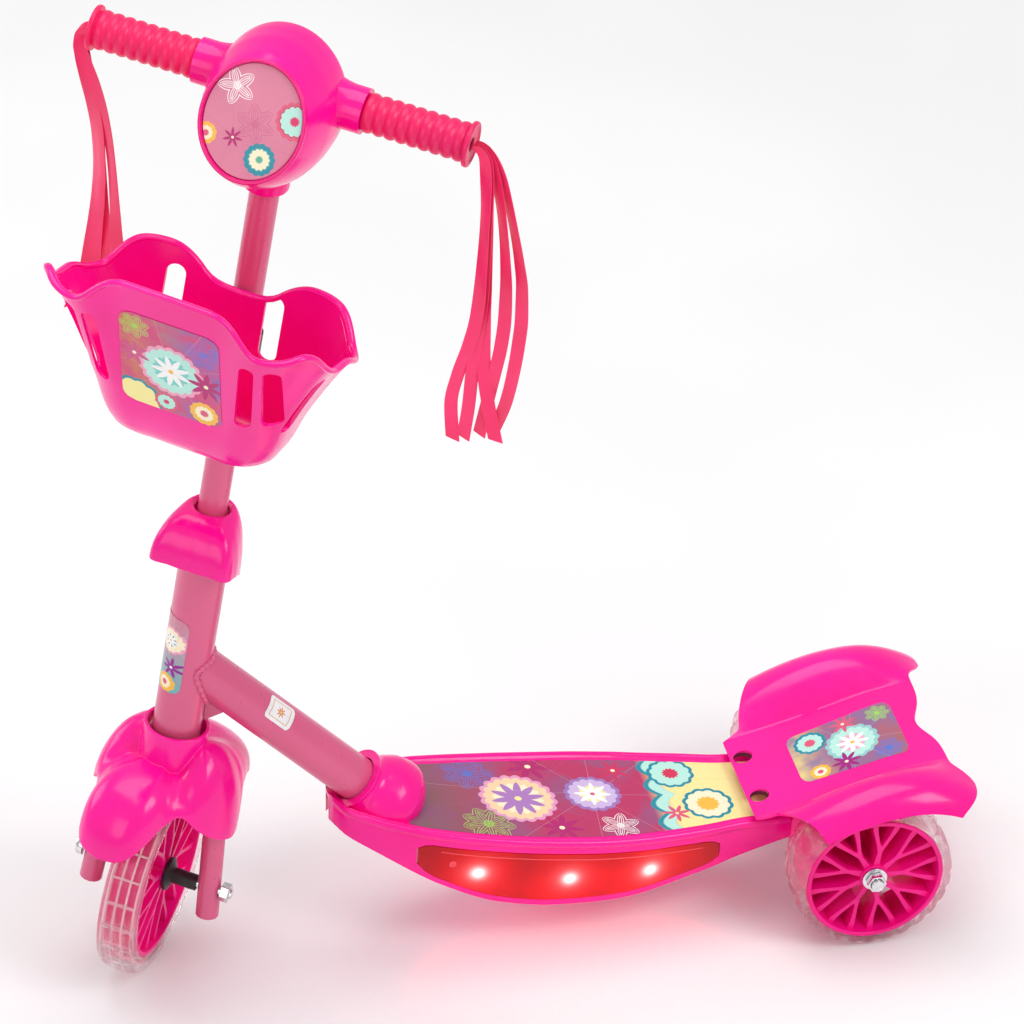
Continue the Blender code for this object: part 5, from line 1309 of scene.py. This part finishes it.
def ribbon_satin():
    """Satin with fine threads across it."""
    p = Paint("ribbon")
    threads = p.math("SINE", p.times(p.apart()[2], 2 * math.pi / 0.0005))
    p.set(Base_Color=p.drift(30, 2, 0.35, 0.65, (0.97, 0.010, 0.150), (0.88, 0.006, 0.110)))
    p.set(Sheen_Weight=0.2, Coat_Weight=0.1)
    p.rough(120, 2, 0.30, 0.42)
    p.bump(threads, 0.06, 0.0001)
    return p.mat


def streamers():
    """Ribbons in two bunches, each a free cord that hangs from a grip's end."""
    satin_pink = ribbon_satin()
    bar = STEER.to_3x3() @ Vector((1, 0, 0))
    for side, sign in SIDES:
        outward = (sign * Vector((bar.x, bar.y, 0))).normalized()
        aside = Vector((0, 0, 1)).cross(outward)
        start = STEER @ Vector((sign * GRIP_END, 0, BAR_H))
        bunch = STREAMER_OUTS[side]
        for number, outs in enumerate(bunch):
            layer = (number - (len(bunch) - 1) / 2) * STREAMER_PITCH
            route = []
            for drop, out in zip(STREAMER_DROPS, outs):
                fan = 1 + (STREAMER_FAN - 1) * drop / STREAMER_DROPS[-1]
                route.append(start + out / 1000 * outward + layer * fan * aside - Vector((0, 0, drop / 1000)))
            ribbon(f"streamer_{side}_{number + 1}", route, aside, satin_pink)


def ribbon(name, route, aside, mat):
    """One ribbon along its route: narrow where it is gathered, with a slight twist and a slanted end."""
    fine = []
    axes = [[(i, p[axis]) for i, p in enumerate(route)] for axis in range(3)]
    for k in range((len(route) - 1) * 6 + 1):
        fine.append(Vector([smooth_through(points, k / 6) for points in axes]))
    rings = []
    for i, p in enumerate(fine):
        along = (fine[min(i + 1, len(fine) - 1)] - fine[max(i - 1, 0)]).normalized()
        across = along.cross(aside).normalized()
        width = STREAMER_W * min(1.0, 0.32 + 0.68 * i / 30)
        end = 0.0025 if i == len(fine) - 1 else 0.0
        cup = 0.0004 * math.sin(i / 7)
        turn = 0.55 * math.sin(i / 11 + len(name) % 2) * min(1.0, i / 30)
        flat = math.cos(turn) * across + math.sin(turn) * aside
        tall = math.cos(turn) * aside - math.sin(turn) * across
        ring = []
        for dx, dy in RIBBON_SECTION:
            bend = cup * (1 - dx * dx)
            ring.append(p + flat * (dx * width / 2) + tall * (dy * STREAMER_T / 2 + bend) + along * end * dx)
        rings.append(ring)
    obj = mesh_object(f"ribbon_{name}", loft(rings))
    node = NODES[name]
    obj.data.materials.append(mat)
    obj.data.shade_smooth()
    obj.data.set_sharp_from_angle(angle=math.radians(50))
    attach(obj, "steering")
    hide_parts(node.name)


# ---------------------------------------------------------------- head tube, weld and labels
def head_print():
    """Sticker wrapped round the front of the head tube."""
    low, high, half_wrap, corner = 0.1400, 0.1930, math.radians(68), 0.006
    r = HEAD_R + STICKER_LIFT

    def point(s, t):
        z = low + (high - low) * t
        a = (half_wrap - corner_cut(min(z - low, high - z), corner) / HEAD_R) * s
        return Vector((r * math.sin(a), -r * math.cos(a), z))

    place(mesh_object("head_print", sheet(32, 40, point)), HEAD, "frame", tube_sticker(), "face_pink")


def weld_bead(rose):
    """Rippled bead where the down tube meets the head tube."""
    inverse = HEAD.inverted() @ HOME
    start, run = inverse @ DOWN_TOP, (inverse.to_3x3() @ DOWN_DIR).normalized()
    turn = run.to_track_quat("Z", "Y").to_matrix()
    steps = 180
    line = []
    for a in around(steps):
        p = start + turn @ Vector(((DOWN_R + 0.0004) * math.cos(a), (DOWN_R + 0.0004) * math.sin(a), 0))
        qa = run.x ** 2 + run.y ** 2
        qb = p.x * run.x + p.y * run.y
        qc = p.x ** 2 + p.y ** 2 - HEAD_R ** 2
        along = (-qb + math.sqrt(max(0.0, qb * qb - qa * qc))) / qa
        line.append(p + along * run)
    middle = sum(line, Vector()) / steps
    rings = []
    for k, p in enumerate(line):
        ahead = (line[(k + 1) % steps] - line[k - 1]).normalized()
        out = (p - middle).normalized()
        out = (out - out.dot(ahead) * ahead).normalized()
        side = ahead.cross(out)
        r = 0.0019 + 0.0004 * math.sin(2 * math.pi * 30 * k / steps)
        rings.append([p + r * (math.cos(a) * out + math.sin(a) * side) for a in around(10)])
    place(mesh_object("weld_bead", loft(rings, closed=True)), HEAD, "frame", rose, "rose_paint")


def tube_label():
    """Small white label with rounded corners and a printed frame, on the upper side of the down tube."""
    white, amber = (0.86, 0.86, 0.87), (0.70, 0.28, 0.10)
    p = Sticker("label_print", "X", "Y")
    p.colour = p.drift(90, 2, 0.35, 0.65, white, (0.78, 0.78, 0.80))
    edge = p.math("MAXIMUM", p.size(p.math("DIVIDE", p.u, 9.3)), p.size(p.math("DIVIDE", p.v, 6.6)))
    p.lay(p.below(p.size(p.less(edge, 0.80)), 0.03, 0.02), (0.66, 0.30, 0.10))
    p.daisy(0, 0, 3.6, amber, white, 8)
    half_long, half_wide, corner = 0.0105, 0.0078, 0.0025
    r = DOWN_R + STICKER_LIFT

    def point(s, t):
        y = half_long * (2 * t - 1)
        a = (half_wide - corner_cut(half_long - abs(y), corner)) * s / DOWN_R
        return Vector((y, r * math.sin(a), r * math.cos(a)))

    up = Vector((0.80, 0.30, 0.90))
    out = up - up.dot(DOWN_DIR) * DOWN_DIR
    where = HOME @ axes_at(DOWN_TOP + 0.0690 * DOWN_DIR, DOWN_DIR, out)
    place(mesh_object("tube_label", sheet(16, 28, point)), where, "frame", p.done(), "face_pink")


def frame_details():
    head_print()
    weld_bead(painted("rose_weld", ROSE))
    tube_label()


# ---------------------------------------------------------------- carried-over CAD nodes
def dress_nodes(pink):
    """Materials, soft edges and smooth shading for the CAD nodes that keep their own shape."""
    rose = painted("rose_paint_flake", ROSE)
    chrome = plated("chrome_plate")
    black = satin("black_nylon", (0.012, 0.012, 0.013), 0.42)
    grey = satin("bush_nylon", (0.09, 0.09, 0.095), 0.5)
    board = satin("circuit_green", (0.01, 0.10, 0.035), 0.4)
    lens = glowing_red("lens_plain")
    looks = {"pink_plastic": pink, "rose_paint": rose, "chrome": chrome, "black_plastic": black,
             "bush_plastic": grey, "circuit_board": board, "red_lens": lens}
    slots = {part["node"]: part["material_slot"] for part in frame["record"]["subparts"]}
    for name, obj in NODES.items():
        look = looks.get(slots[name])
        if obj.hide_render or look is None:
            continue
        obj.data.materials.clear()
        obj.data.materials.append(look)
        obj.data.shade_smooth()
        weld = obj.modifiers.new("weld", "WELD")
        weld.merge_threshold = 0.00002
        finish_edges(obj, 0.0003, 40)


# ---------------------------------------------------------------- assembly
def build():
    studio()
    streamers()
    pink = moulded("hot_pink", PINK, PINK_DEEP)
    hub_pink = moulded("hub_pink", (0.97, 0.003, 0.270), (0.86, 0.001, 0.220), 0.34, 0.0)
    clear = gel("tyre_gel")
    deck(pink)
    lenses()
    lens_details()
    deck_print()
    rear_fender(pink)
    rear_print()
    front_shells(pink)
    housing(pink)
    grips()
    basket(pink)
    basket_print()
    front_wheel(hub_pink, clear)
    rear_wheels(hub_pink, clear)
    dress_nodes(pink)
    frame_details()


build()
bpy.context.scene.view_settings.view_transform = "Standard"
